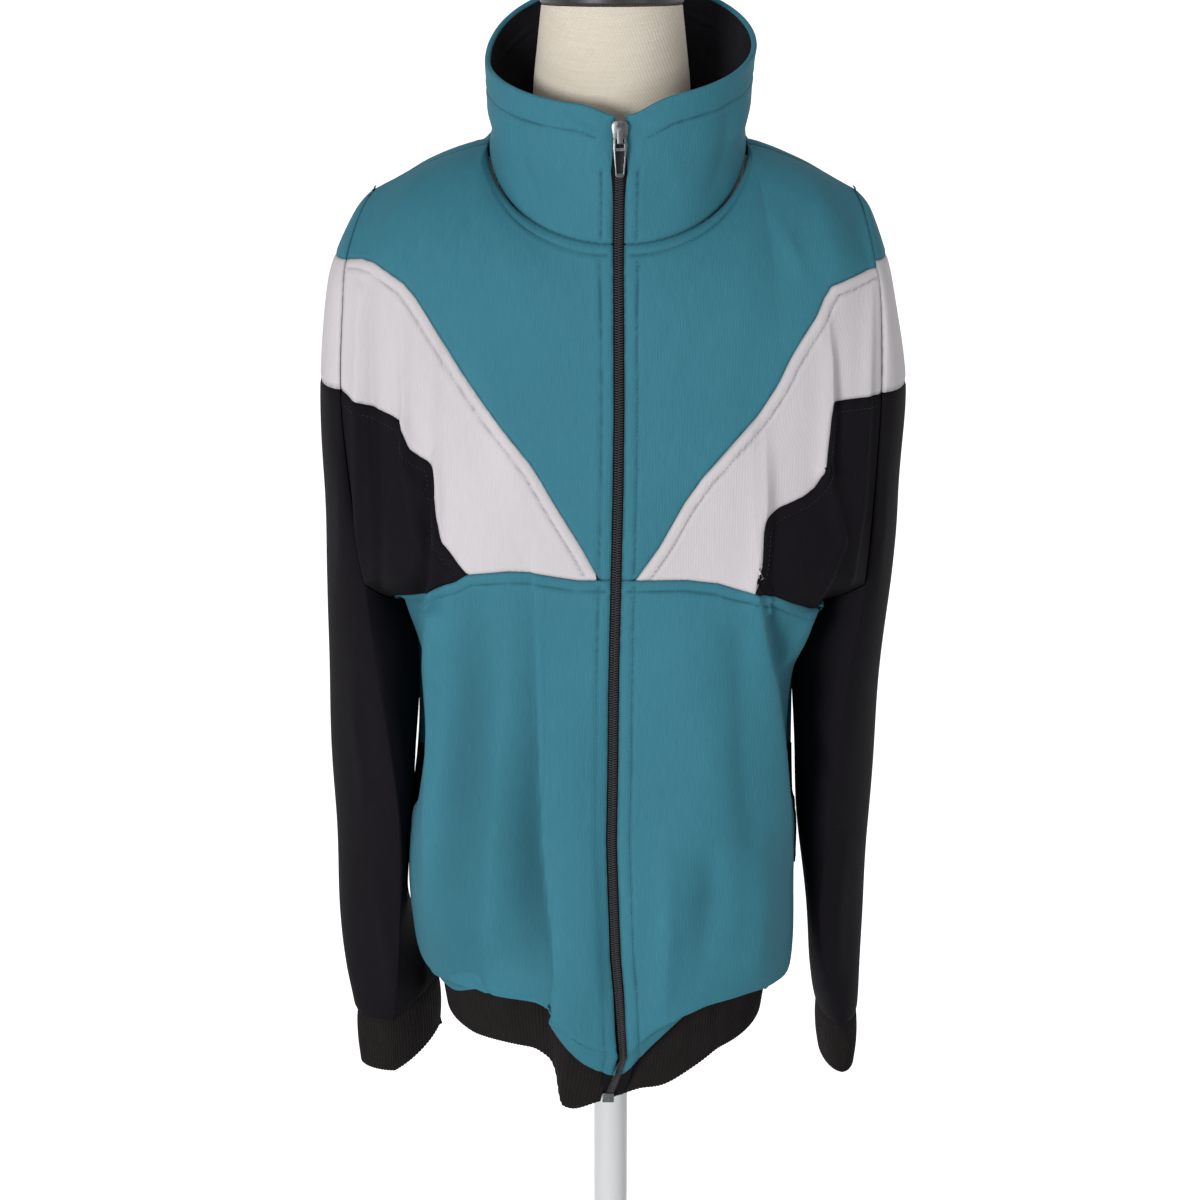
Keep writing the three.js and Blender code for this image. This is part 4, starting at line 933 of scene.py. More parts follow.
class Finish:
    def __init__(self, name):
        self.material = bpy.data.materials.new(name)
        self.material.use_nodes = True
        self.tree = self.material.node_tree
        self.shader = self.tree.nodes["Principled BSDF"]

    def node(self, kind, settings=None, inputs=()):
        node = self.tree.nodes.new(kind)
        for name, value in (settings or {}).items():
            if name == "stops":
                while len(node.color_ramp.elements) < len(value):
                    node.color_ramp.elements.new(0.5)
                for element, (place, colour) in zip(node.color_ramp.elements, value):
                    element.position = place
                    element.color = colour
            else:
                setattr(node, name, value)
        pairs = inputs.items() if isinstance(inputs, dict) else enumerate(inputs)
        for key, value in pairs:
            self.feed(node.inputs[key], value)
        return node

    def feed(self, socket, value):
        if isinstance(value, Value):
            self.tree.links.new(value.socket, socket)
        elif value is not None:
            socket.default_value = value

    def out(self, kind, settings=None, inputs=(), output=0):
        return Value(self, self.node(kind, settings, inputs).outputs[output])

    def cloth_place(self):
        place = self.out("ShaderNodeUVMap", {"uv_map": "cloth"})
        parts = self.node("ShaderNodeSeparateXYZ", None, (place,))
        return place, Value(self, parts.outputs[0]), Value(self, parts.outputs[1])

    # Reads the painted shade stored on the mesh's points
    def groove(self):
        settings = {"attribute_type": "GEOMETRY", "attribute_name": "groove"}
        return self.out("ShaderNodeAttribute", settings, (), "Fac")

    def object_place(self):
        return self.out("ShaderNodeTexCoord", None, (), "Object")

    def noise(self, place, scale, detail=2.0, roughness=0.5):
        settings = {"noise_dimensions": "3D"}
        return self.out("ShaderNodeTexNoise", settings,
                        {"Vector": place, "Scale": scale, "Detail": detail, "Roughness": roughness}, "Fac")

    def stretched(self, place, scales):
        return self.out("ShaderNodeVectorMath", {"operation": "MULTIPLY"}, (place, scales))

    def grain(self, place, scales, detail, roughness=0.5):
        return self.noise(self.stretched(place, scales), 1.0, detail, roughness)

    def mixed(self, share, dark, light):
        node = self.node("ShaderNodeMix", {"data_type": "RGBA"})
        self.feed(node.inputs["Factor"], share)
        for key, value in (("A", dark), ("B", light)):
            self.feed([s for s in node.inputs if s.name == key and s.type == "RGBA"][0], value)
        return Value(self, [s for s in node.outputs if s.type == "RGBA"][0])

    def set(self, **values):
        names = {"colour": "Base Color", "roughness": "Roughness", "metallic": "Metallic", "normal": "Normal",
                 "sheen": "Sheen Weight", "sheen_roughness": "Sheen Roughness", "sheen_tint": "Sheen Tint",
                 "specular": "Specular IOR Level", "coat": "Coat Weight", "coat_roughness": "Coat Roughness",
                 "glow": "Emission Color", "glow_strength": "Emission Strength"}
        for key, value in values.items():
            self.feed(self.shader.inputs[names[key]], value)

    def bump(self, height, strength, distance):
        inputs = {"Height": height, "Strength": strength, "Distance": distance}
        return self.out("ShaderNodeBump", None, inputs, "Normal")


def rgb(red, green, blue):
    linear = [((c / 255 + 0.055) / 1.055) ** 2.4 if c > 10 else c / 255 / 12.92 for c in (red, green, blue)]
    return (*linear, 1.0)


# Warp knit: fine wales along the cloth, with a soft sheen
def knit_finish(name, dark, light, sheen, roughness, contrast, gloss):
    finish = Finish(name)
    place, across, along = finish.cloth_place()
    wale_pitch, course_pitch = 0.0011, 0.0009
    wander = finish.grain(place, (60.0, 9.0, 0.0), 2.0)
    wales = (across * (2 * math.pi / wale_pitch) + wander * 7.0).sine()
    courses = (along * (2 * math.pi / course_pitch)).sine()
    streaks = finish.grain(place, (1000.0, 70.0, 0.0), 3.0, 0.6)
    grain = finish.grain(place, (1500.0, 1100.0, 0.0), 2.0)
    clouds = finish.grain(place, (14.0, 9.0, 0.0), 3.0)
    tone = (0.5 + (streaks - 0.5) * 0.7 * contrast + wales * 0.06 * contrast
            + (grain - 0.5) * 0.7 * contrast + (clouds - 0.5) * 0.5)
    plain = finish.mixed(tone, dark, light)
    # Painted shade: the cloth is darkened towards 35 per cent of its dark tone where the stored painted shade
    # is high, in seams, stitch lines and fold hollows
    painted_shade_colour = tuple(c * 0.35 for c in dark[:3]) + (1.0,)
    finish.set(colour=finish.mixed(finish.groove() * 0.8, plain, painted_shade_colour),
               roughness=roughness + (streaks - 0.5) * 0.1, sheen=sheen, sheen_roughness=0.4, specular=gloss,
               normal=finish.bump(wales * 0.5 + courses * 0.22 + grain * 1.1 + streaks * 0.4, 0.5, 0.00015))
    return finish.material


# Rib knit: the ribs are in the mesh, and the stitches along them are here
def rib_finish(name, dark, light):
    finish = Finish(name)
    place, _, along = finish.cloth_place()
    row_pitch = 0.0013
    grain = finish.grain(place, (1300.0, 700.0, 0.0), 2.0)
    fuzz = finish.grain(place, (90.0, 60.0, 0.0), 3.0)
    loops = (along * (2 * math.pi / row_pitch) + grain * 2.0).sine()
    tone = 0.5 + (grain - 0.5) * 1.1 + (fuzz - 0.5) * 0.5 + loops * 0.1
    finish.set(colour=finish.mixed(tone, dark, light), roughness=0.92, sheen=0.03, sheen_roughness=0.5,
               specular=0.12, normal=finish.bump(loops * 0.5 + grain * 1.2, 0.6, 0.00018))
    return finish.material


# Coarse linen: threads over and under, with slubs
def linen_finish(name, dark, light):
    finish = Finish(name)
    place, across, along = finish.cloth_place()
    pitch = 0.0011
    slub = finish.grain(place, (30.0, 500.0, 0.0), 3.0, 0.6)
    slub_up = finish.grain(place, (500.0, 30.0, 0.0), 3.0, 0.6)
    warp = (across * (math.pi / pitch) + slub_up * 2.0).sine()
    weft = (along * (math.pi / pitch) + slub * 2.0).sine()
    weave = warp.size() * 0.5 + weft.size() * 0.5 + warp * weft * 0.5
    clouds = finish.grain(place, (22.0, 22.0, 0.0), 3.0)
    tone = 0.1 + weave * 0.35 + slub * 0.5 + slub_up * 0.35 + (clouds - 0.5) * 0.5
    finish.set(colour=finish.mixed(tone, dark, light), roughness=0.9, specular=0.2, sheen=0.1,
               normal=finish.bump(weave + slub * 0.7 + slub_up * 0.5, 0.5, 0.0003))
    return finish.material


def satin_finish(name, dark, light):
    finish = Finish(name)
    place = finish.object_place()
    threads = finish.grain(place, (300.0, 300.0, 1500.0), 2.0)
    finish.set(colour=finish.mixed(threads, dark, light), roughness=0.42 + (threads - 0.5) * 0.2,
               specular=0.5, sheen=0.2, normal=finish.bump(threads, 0.2, 0.0001))
    return finish.material


def metal_finish(name, dark, light, roughness, scale):
    finish = Finish(name)
    place = finish.object_place()
    worn = finish.noise(place, scale, 4.0, 0.6)
    scratches = finish.noise(finish.stretched(place, (1.0, 1.0, 0.12)), scale * 8, 2.0)
    finish.set(colour=finish.mixed(worn, dark, light), metallic=1.0,
               roughness=roughness + (worn - 0.5) * 0.25 + (scratches - 0.5) * 0.15,
               normal=finish.bump(scratches, 0.12, 0.00005))
    return finish.material


def painted_finish(name, dark, light):
    finish = Finish(name)
    place = finish.object_place()
    peel = finish.noise(place, 900.0, 2.0)
    clouds = finish.noise(place, 12.0, 3.0)
    finish.set(colour=finish.mixed(clouds, dark, light), metallic=0.0, roughness=0.38 + (clouds - 0.5) * 0.12,
               specular=0.5, coat=0.15, coat_roughness=0.25, normal=finish.bump(peel, 0.08, 0.0001))
    return finish.material


def plastic_finish(name, dark, light):
    finish = Finish(name)
    place = finish.object_place()
    grain = finish.noise(place, 2500.0, 2.0)
    finish.set(colour=finish.mixed(grain, dark, light), roughness=0.42 + (grain - 0.5) * 0.2, specular=0.45,
               normal=finish.bump(grain, 0.1, 0.00005))
    return finish.material


finishes = {
    "teal": knit_finish("teal_knit", rgb(45, 107, 124), rgb(67, 136, 154), 0.05, 0.75, 1.0, 0.2),
    "pale": knit_finish("pale_knit", rgb(197, 192, 197), rgb(220, 216, 219), 0.0, 0.85, 0.8, 0.2),
    "black": knit_finish("black_knit", rgb(11, 9, 13), rgb(27, 24, 30), 0.0, 0.85, 1.0, 0.12),
    "rib": rib_finish("rib_knit", rgb(21, 18, 18), rgb(40, 36, 36)),
    "lining": knit_finish("collar_lining", rgb(24, 23, 27), rgb(40, 38, 43), 0.0, 0.85, 0.8, 0.12),
    "tape": knit_finish("zip_tape_weave", rgb(12, 12, 14), rgb(24, 24, 27), 0.0, 0.85, 0.8, 0.15),
    "linen": linen_finish("linen_cover", rgb(190, 178, 158), rgb(231, 222, 206)),
    "cap": satin_finish("cap_satin", rgb(30, 26, 26), rgb(62, 57, 56)),
    "metal": metal_finish("zip_metal", rgb(92, 94, 97), rgb(158, 161, 163), 0.32, 700.0),
    "dark_metal": metal_finish("tab_recess", rgb(30, 31, 33), rgb(48, 49, 51), 0.5, 700.0),
    "stand": painted_finish("stand_paint", rgb(214, 216, 218), rgb(226, 228, 230)),
    "coil": plastic_finish("zip_coil_plastic", rgb(24, 23, 25), rgb(74, 71, 74)),
    "teal_thread": plastic_finish("teal_thread", rgb(28, 82, 99), rgb(42, 104, 120)),
    "pale_thread": plastic_finish("pale_thread", rgb(150, 147, 155), rgb(178, 175, 182)),
    "black_thread": plastic_finish("black_thread", rgb(18, 17, 20), rgb(38, 35, 40)),
}


def dress(piece, finish):
    piece.data.materials.clear()
    piece.data.materials.append(finishes[finish])


# Columns across a front panel, closer together where a seam climbs steeply
def columns_from(start, end, count, steep):
    even = np.linspace(start, end, count)
    extra = [np.linspace(a, b, n) for a, b, n in steep if b > start]
    values = np.unique(np.round(np.concatenate([even] + extra), 5))
    values = values[(values >= start) & (values <= end)]
    keep = np.concatenate([[True], np.diff(values) > 0.0012])
    keep[-1] = True
    return values[keep]


steep_places = {
    "left": [(0.408, 0.46, 24), (0.67, 0.72, 20)],
    "right": [(0.52, 0.575, 20), (0.645, 0.67, 8)],
}


def front_panel(side, start, count, rows, low_row, high_row):
    shares = columns_from(start, edge_share, count, steep_places[side])
    low, high = low_row(shares), high_row(shares)
    t = np.linspace(0, 1, rows + 1)[:, None]
    grid_rows = low[None] + (high - low)[None] * t
    return body_cloth(side, "front", np.broadcast_to(shares, grid_rows.shape), grid_rows)


def half_gap(side, share, row):
    step = 0.02
    rise = body_base(side, "front", share, row + step) - body_base(side, "front", share, row - step)
    return 0.35 * seam_gap * 2 * step / np.linalg.norm(rise, axis=-1)


# Shade in the hollows of the folds
def hollow_of(grid):
    return hollow_shade * np.clip(-fold_gain * fold_height(grid, body_folds) / hollow_depth, 0, 1)


def front_piece(name, side, grid, seams, runs, colour):
    grid, normals, groove = sewn(grid, sign_of[side], seams, runs, colour)
    # Painted shade in the fold hollows joins the painted shade along the seams
    groove = np.maximum(groove, hollow_of(grid))
    start = np.abs(grid[:, 0, 0] - zip_at(grid[:, 0, 2])[0])
    piece = shell(f"front_{name}_cloth_{side}", grid, normals, cloth_wall, groove=groove, tuck=lips,
                  start=start)
    wear(piece, colour, f"front_{name}_{side}")


def make_front(side):
    seam = {name: (lambda u, n=name: seam_row(side, n, u)) for name in seam_rows[side]}

    def above(u, row):
        return row + half_gap(side, u, row)

    def below(u, row):
        return row - half_gap(side, u, row)

    def side_low(u):
        return above(u, seam["yoke"](u))

    def side_high(u):
        return np.maximum(below(u, seam["chevron_bottom"](u)), side_low(u) + least_rows)

    def chevron_low(u):
        row = seam["yoke"](u)
        return above(u, np.where(u >= side_start[side], np.maximum(row, seam["chevron_bottom"](u)), row))

    def chevron_high(u):
        return np.maximum(below(u, seam["chevron_top"](u)), chevron_low(u) + least_rows)

    def yoke_low(u):
        row = seam["yoke"](u)
        return above(u, np.where(u > chevron_start - 0.01, np.maximum(row, seam["chevron_top"](u)), row))

    levels = np.concatenate([np.linspace(0, hanging_row, 30), np.linspace(hanging_row, even_row, 62)[1:]])
    shares = columns_from(0, edge_share, 112, [])
    top = below(shares, seam["yoke"](shares))
    upper = np.linspace(0, 1, 26)[1:, None]
    rows = np.concatenate([np.broadcast_to(levels[:, None], (len(levels), len(shares))),
                           even_row + (top[None] - even_row) * upper])
    grid = body_cloth(side, "front", np.broadcast_to(shares, rows.shape), rows)
    front_piece("lower", side, grid, [grid[-1], grid[:, 0]],
                [(grid[-1], stitch_gauge), (grid[8:, 0], zip_gauge)], "teal")

    for name, start, columns, low, high, colour in (
            ("chevron", chevron_start, 96, chevron_low, chevron_high, "pale"),
            ("side", side_start[side], 70, side_low, side_high, "black")):
        grid = front_panel(side, start, columns, 44, low, high)
        front_piece(name, side, grid, [grid[0], grid[-1], grid[:, -1]], [(grid[-1], stitch_gauge)], colour)

    grid = front_panel(side, 0, 110, 76, yoke_low, lambda u: np.full_like(u, top_edge))
    neck = grid[-1][: int(grid.shape[1] * neck_share)]
    front_piece("yoke", side, grid, [grid[0], grid[-1], grid[:, 0], grid[:, -1]],
                [(neck, stitch_gauge), (grid[:-6, 0], zip_gauge)], "teal")


def make_back():
    levels = np.concatenate([np.linspace(0, hanging_row, 30), np.linspace(hanging_row, top_edge, 96)[1:]])
    shares = np.linspace(0, edge_share, 76)
    halves = []
    for side in ("right", "left"):
        rows = np.broadcast_to(levels[:, None], (len(levels), len(shares)))
        half = body_cloth(side, "back", np.broadcast_to(shares, rows.shape), rows)
        halves.append(half[:, ::-1] if side == "right" else half[:, 1:])
    grid = np.concatenate(halves, axis=1)
    neck_count = int(len(shares) * neck_share)
    middle = len(shares) - 1
    neck = grid[-1, middle - neck_count + 1: middle + neck_count]
    grid, normals, groove = sewn(grid, -1, [grid[-1]], [(neck, stitch_gauge)], "teal")
    piece = shell("back_cloth", grid, normals, cloth_wall, groove=groove, tuck=lips, from_column=middle)
    wear(piece, "teal", "back")


def make_pocket(side):
    rows, columns = 40, 14
    widest, edge = 0.13, 0.985
    t = np.linspace(0, 1, rows + 1)[:, None]
    z = mix(pocket_bottom, pocket_top, t) + np.zeros((rows + 1, columns + 1))
    width = widest * np.sin(math.pi * mix(0.04, 0.96, t)) ** 0.6
    share = mix(edge - width, edge, np.linspace(0, 1, columns + 1)[None])
    grid = body_cloth(side, "front", share, row_at_height(side, "front", share, z))
    grid = grid + normals_of(grid, sign_of[side]) * pocket_lift
    grid, normals, groove = sewn(grid, sign_of[side], [grid[:, 0]], [(grid[3:-3, 0], pocket_gauge)], "black")
    piece = shell("pocket_facing_" + side, grid, normals, cloth_wall, groove=groove, tuck=pocket_lips)
    wear(piece, "black", "pocket_" + side)


def make_sleeve(side):
    flip = -sign_of[side]
    cap_end, band_end = sleeve_seams[side]
    columns, inset, gap = 64, 0.0014, 0.0016
    for name, start, end, rows, colour in (
            ("cap", 0.1, cap_end - gap, 40, "teal"),
            ("band", cap_end + gap, band_end - gap, 34, "pale")):
        share, row = np.meshgrid(np.linspace(inset, 1 - inset, columns), np.linspace(start, end, rows))
        grid = sleeve_cloth(side, "outer", share, row)
        seams = [grid[-1], grid[:, 0], grid[:, -1]] + ([grid[0]] if name == "band" else [])
        grid, normals, groove = sewn(grid, flip, seams)
        piece = shell(f"sleeve_{name}_cloth_{side}", grid, normals, cloth_wall, groove=groove, tuck=lips,
                      from_column=columns // 2)
        wear(piece, colour, f"sleeve_{name}_{side}")
    make_lower_sleeve(side, flip, band_end + gap, inset)


# The lower sleeve is open towards the armhole down to the underarm, and a tube from there on. Both share
# one row of points at the underarm.
def make_lower_sleeve(side, flip, start, inset):
    count = 56
    u = np.linspace(0, 1, count)
    open_rows = np.linspace(start, split_row, 40)
    from_edge = np.where(open_rows < split_row - 0.01, inset, 0)[:, None]
    share = mix(from_edge, 1 - from_edge, u[None])
    upper = sleeve_cloth(side, "outer", share, np.broadcast_to(open_rows[:, None], share.shape))
    tube_rows = np.linspace(split_row, sleeve_end, 84)
    share, row = np.meshgrid(u, tube_rows)
    outer = sleeve_cloth(side, "outer", share, row)
    inner = sleeve_cloth(side, "inner", share, row)
    lower = np.concatenate([outer, inner[:, ::-1][:, 1:]], axis=1)
    upper, upper_normals, groove = sewn(upper, flip, [upper[0], upper[:, 0], upper[:, -1]])
    lower_normals = normals_of(lower, flip, True)
    dip = -1.0 * np.exp(-(near_line(lower, dense_line(lower[-1])) / 2.0) ** 2)
    lower = lower + lower_normals * lift(dip)
    upper[-1] = lower[0, :count]
    joined = join_sleeve(f"sleeve_lower_cloth_{side}", upper, upper_normals, lower, lower_normals)
    shade = groove[:-1].ravel()
    store_painted_shade(joined, np.concatenate([shade, np.zeros(len(joined.data.vertices) - len(shade))]))
    wear(joined, "black", f"sleeve_lower_{side}")


def join_sleeve(name, upper, upper_normals, lower, lower_normals):
    count, total = upper.shape[1], lower.shape[1] - 1
    outer = np.concatenate([upper[:-1].reshape(-1, 3), lower[:, :total].reshape(-1, 3)])
    out = np.concatenate([upper_normals[:-1].reshape(-1, 3), lower_normals[:, :total].reshape(-1, 3)])
    layer = len(outer)
    base = (upper.shape[0] - 1) * count
    upper_uv, lower_uv = arc_uv(upper, count // 2), arc_uv(lower, count // 2)
    lower_uv[..., 1] += upper_uv[-1, :, 1].max()
    index_upper = np.arange(base + count).reshape(-1, count)
    index_lower = base + np.arange(lower.shape[0] * total).reshape(-1, total)
    index_lower = np.concatenate([index_lower, index_lower[:, :1]], axis=1)

    def cells(values):
        return np.stack([values[:-1, :-1], values[:-1, 1:], values[1:, 1:], values[1:, :-1]], 2)

    faces = np.concatenate([cells(index).reshape(-1, 4) for index in (index_upper, index_lower)])
    face_uv = np.concatenate([cells(uv).reshape(-1, 4, 2) for uv in (upper_uv, lower_uv)])
    a, b, c = (outer[faces[:, k]] for k in range(3))
    if (np.cross(b - a, c - a) * out[faces[:, 0]]).sum() < 0:
        faces, face_uv = faces[:, ::-1], face_uv[:, ::-1]
    edges = {}
    for face, corners in zip(faces.tolist(), face_uv.tolist()):
        for k in range(4):
            p, q = face[k], face[(k + 1) % 4]
            if (q, p) in edges:
                del edges[(q, p)]
            else:
                edges[(p, q)] = (corners[k], corners[(k + 1) % 4])
    rim = [(q, p, p + layer, q + layer) for p, q in edges]
    rim_uv = [(t, s, s, t) for s, t in edges.values()]
    all_faces = np.concatenate([faces, faces[:, ::-1] + layer, np.array(rim)])
    all_uv = np.concatenate([face_uv, face_uv[:, ::-1], np.array(rim_uv)])
    points = np.concatenate([outer, outer - out * cloth_wall])
    return new_object(name, points, all_faces.tolist(), all_uv.reshape(-1, 2))


# Ribs: rounded ridges that run along the columns, as many as fit round the piece
def ribbed(grid, flip, wrap, samples=6):
    middle = grid[grid.shape[0] // 2]
    around = np.linalg.norm(np.diff(middle, axis=0), axis=1).sum()
    ribs = int(round(around / rib_pitch))
    columns = ribs * samples
    at = np.linspace(0, grid.shape[1] - 1, columns + 1)
    low = np.clip(np.floor(at).astype(int), 0, grid.shape[1] - 2)
    f = (at - low)[None, :, None]
    p0 = grid[:, np.maximum(low - 1, 0)]
    p1, p2 = grid[:, low], grid[:, low + 1]
    p3 = grid[:, np.minimum(low + 2, grid.shape[1] - 1)]
    fine = hermite(p1, p2, (p2 - p0) / 2, (p3 - p1) / 2, f)
    normals = normals_of(fine, flip, wrap)
    phase = np.arange(columns + 1) / samples * math.pi
    ridge = np.abs(np.sin(phase)) ** 0.8 - 0.5
    return fine + normals * (ridge * rib_height * 2)[None, :, None]


def cuff_point(side, share, drop, shrink):
    end = cuff_end[side]
    lines = {}
    for line in ("front", "outer", "inner", "back"):
        top = sleeve_line(side, line, np.array(float(sleeve_end)))
        low = np.array([sign_of[side] * end[line + "_x"][0], end[line + "_y"][0], top[2] - end["drop"][0]])
        lines[line] = top + (low - top) * lift(drop)
    middle = (lines["front"] + lines["back"]) / 2
    for line, point in lines.items():
        centre = np.stack([middle[..., 0], middle[..., 1], point[..., 2]], -1)
        lines[line] = point + (centre - point) * shrink
    outer = share < 0.5
    along = np.where(outer, share * 2, 2 - share * 2)
    crease = smooth_at(sleeve_rows[side], "crease", np.array(float(sleeve_end)))
    power = mix(crease, 1.1, drop)
    through = np.where(lift(outer), lines["outer"], lines["inner"])
    return oval_between(lines["front"], through, lines["back"], along, power)


def make_cuff(side):
    share, drop = np.meshgrid(np.linspace(0, 1, 97), np.linspace(0, 1, 15))
    shrink = (0.03 + 0.05 * np.exp(-drop / 0.08))[..., None]
    grid = cuff_point(side, share, drop, shrink)
    bulge = 1.3 * np.sin(math.pi * np.clip(drop, 0, 1)) * (0.6 + 0.4 * np.sin(share * 14 * math.pi))
    grid = grid + normals_of(grid, -sign_of[side], True) * lift(bulge)
    grid = ribbed(grid, -sign_of[side], True)
    normals = normals_of(grid, -sign_of[side], True)
    piece = shell("rib_cuff_" + side, grid, normals, rib_wall, wrap=True)
    wear(piece, "rib", "cuff_" + side)


def band_point(side, part, share, drop):
    top = body_cloth(side, part, share, np.zeros_like(share))
    s = sign_of[side]
    low = hem_at(side, part, share, "hem")
    angle = share * math.pi / 2
    middle_x = zip_at(low)[0] + s * zip_opening if part == "front" else 1
    bottom = np.stack([
        mix(middle_x, s * band_half[side], np.sin(angle)),
        band_depth[part] * np.cos(angle) - hem_at(side, part, share, "forward"),
        low,
    ], -1)
    return top + (bottom - top) * lift(drop)


def make_hem_band():
    fine = np.linspace(0, 1, 81)
    drop = np.linspace(0, 1, 17)
    parts = []
    for side, part, turned in (("left", "front", False), ("left", "back", True),
                               ("right", "back", False), ("right", "front", True)):
        share, down = np.meshgrid(fine, drop)
        grid = band_point(side, part, share, down)
        grid = grid[:, ::-1] if turned else grid
        parts.append(grid if not parts else grid[:, 1:])
    grid = np.concatenate(parts, axis=1)
    bulge = 2.0 * np.sin(math.pi * drop)[:, None] * np.ones(grid.shape[1])[None]
    pull = np.linspace(0, 1, grid.shape[1])[None]
    bulge = bulge + 0.9 * np.sin(pull * 74 * math.pi) * (1 - drop)[:, None] ** 1.5
    grid = grid + normals_of(grid, -1) * lift(bulge)
    grid = ribbed(grid, -1, False, samples=5)
    normals = normals_of(grid, -1)
    piece = shell("rib_hem_band", grid, normals, rib_wall)
    wear(piece, "rib", "hem_band")


def collar_point(turn, height):
    left = turn < 0.5
    s = np.where(left, 1.0, -1.0)

    def by_side(values):
        return np.where(left, float(values["left"]), float(values["right"]))

    share = np.where(left, turn * 2, 2 - turn * 2)
    angle = share * math.pi
    front = angle < math.pi / 2
    waist = collar_waist * np.sin(math.pi * np.clip(height / 0.5, 0, 1)) * np.sin(angle)
    half = mix(by_side(neck_half), by_side(rim_half), height) - waist
    reach = mix(np.where(front, neck_front, neck_back), np.where(front, rim_front, rim_back), height)
    y = shoulder_y + (reach - shoulder_y) * np.abs(np.cos(angle))
    z0 = neck_side_z + (np.where(front, neck_front_z, neck_back_z) - neck_side_z) * np.abs(np.cos(angle))
    rim_end = np.where(front, by_side(rim_front_z), rim_back_z)
    away = half * np.sin(angle) / by_side(rim_corner_width)
    corner = np.where(front, by_side(rim_corner) * np.exp(-away * away), 0)
    z1 = by_side(rim_side_z) + (rim_end - by_side(rim_side_z)) * np.abs(np.cos(angle)) - corner
    z = mix(z0, z1, height)
    middle_x = mix(zip_at(z)[0] + s * zip_opening, mix(1, 6, height), ease(share * 1.2))
    return np.stack([mix(middle_x, s * half, np.sin(angle)), y, z], -1)


def make_collar():
    around = 260
    turns = np.linspace(0, 1, around)
    heights = np.linspace(0, 1, 56)
    turn, height = np.meshgrid(turns, heights)
    grid = collar_point(turn, height)
    normals = normals_of(grid, 1)
    ends = ease(height / 0.1) * ease((1 - height) / 0.08) * ease(turn / 0.01) * ease((1 - turn) / 0.01)
    front = np.abs(turn - 0.5) > 0.25
    out = (fold_height(grid, collar_folds) * front + 1.6 * soft_waves(grid * 1.3)) * ends
    grid = grid + normals * lift(out)
    rim_line, neck_line = grid[-1], grid[0]
    end_lines = [grid[:, 0], grid[:, -1]]
    runs = [(rim_line, rim_gauge)] + [(line[:-20], zip_gauge) for line in end_lines]
    grid, normals, groove = sewn(grid, 1, [neck_line] + end_lines, runs, "teal")
    top, out = grid[-1], normals[-1]
    rise = unit(grid[-1] - grid[-3])
    rolled = []
    for angle in np.linspace(0, math.pi, 9)[1:]:
        rolled.append(top + out * rim_roll * (math.cos(angle) - 1) + rise * rim_roll * math.sin(angle))
    rolled.append(rolled[-1] - rise * rim_turn)
    whole = np.concatenate([grid, np.array(rolled)])
    groove = np.concatenate([groove, np.zeros((len(rolled), around))])
    piece = shell("collar_shell_cloth", whole, normals_of(whole, 1), cloth_wall, groove=groove,
                  tuck=collar_lips, from_column=around // 2)
    wear(piece, "teal", "collar_outer")

    inside = grid - normals * (2 * rim_roll + lining_gap)
    inside[-1] = inside[-1] - rise * 0.8
    inside, inside_normals, groove = sewn(inside, -1, [inside[0]])
    piece = shell("collar_lining_cloth", inside, inside_normals, cloth_wall * 0.8, groove=groove,
                  from_column=around // 2)
    wear(piece, "lining", "collar_inner")


# Zip: tapes, teeth, slider, pull tab and box

def zip_frame(z):
    x, y = zip_at(z)
    ahead, behind = zip_at(z + 4), zip_at(z - 4)
    along = np.stack([ahead[0] - behind[0], ahead[1] - behind[1], np.full_like(z, 8.0)], -1)
    along = unit(along)
    out = unit(np.stack([np.zeros_like(z), -along[..., 2], along[..., 1]], -1))
    return np.stack([x, y, z], -1), along, out


def make_tape(side):
    s = sign_of[side]
    z = np.linspace(zip_low, slider_z + 1, 220)
    place, _, out = zip_frame(z)
    across = np.array([1.0, 0, 0])
    shares = np.array([0.02, 0.2, 0.4, 0.7, 1.0])
    reach = mix(tape_foot, tape_half, ease((z - zip_low) / 80))
    grid = place[:, None] + across * (s * shares * reach[:, None])[..., None] + out[:, None] * -1.35
    normals = np.broadcast_to(out[:, None], grid.shape)
    piece = shell("zip_tape_cloth_" + side, grid, normals, 0.7)
    dress(piece, "tape")
    stand_in(piece, "zip_tape_" + side)
    width, length, area = cut_of(grid)
    width = max(width, least_tape)


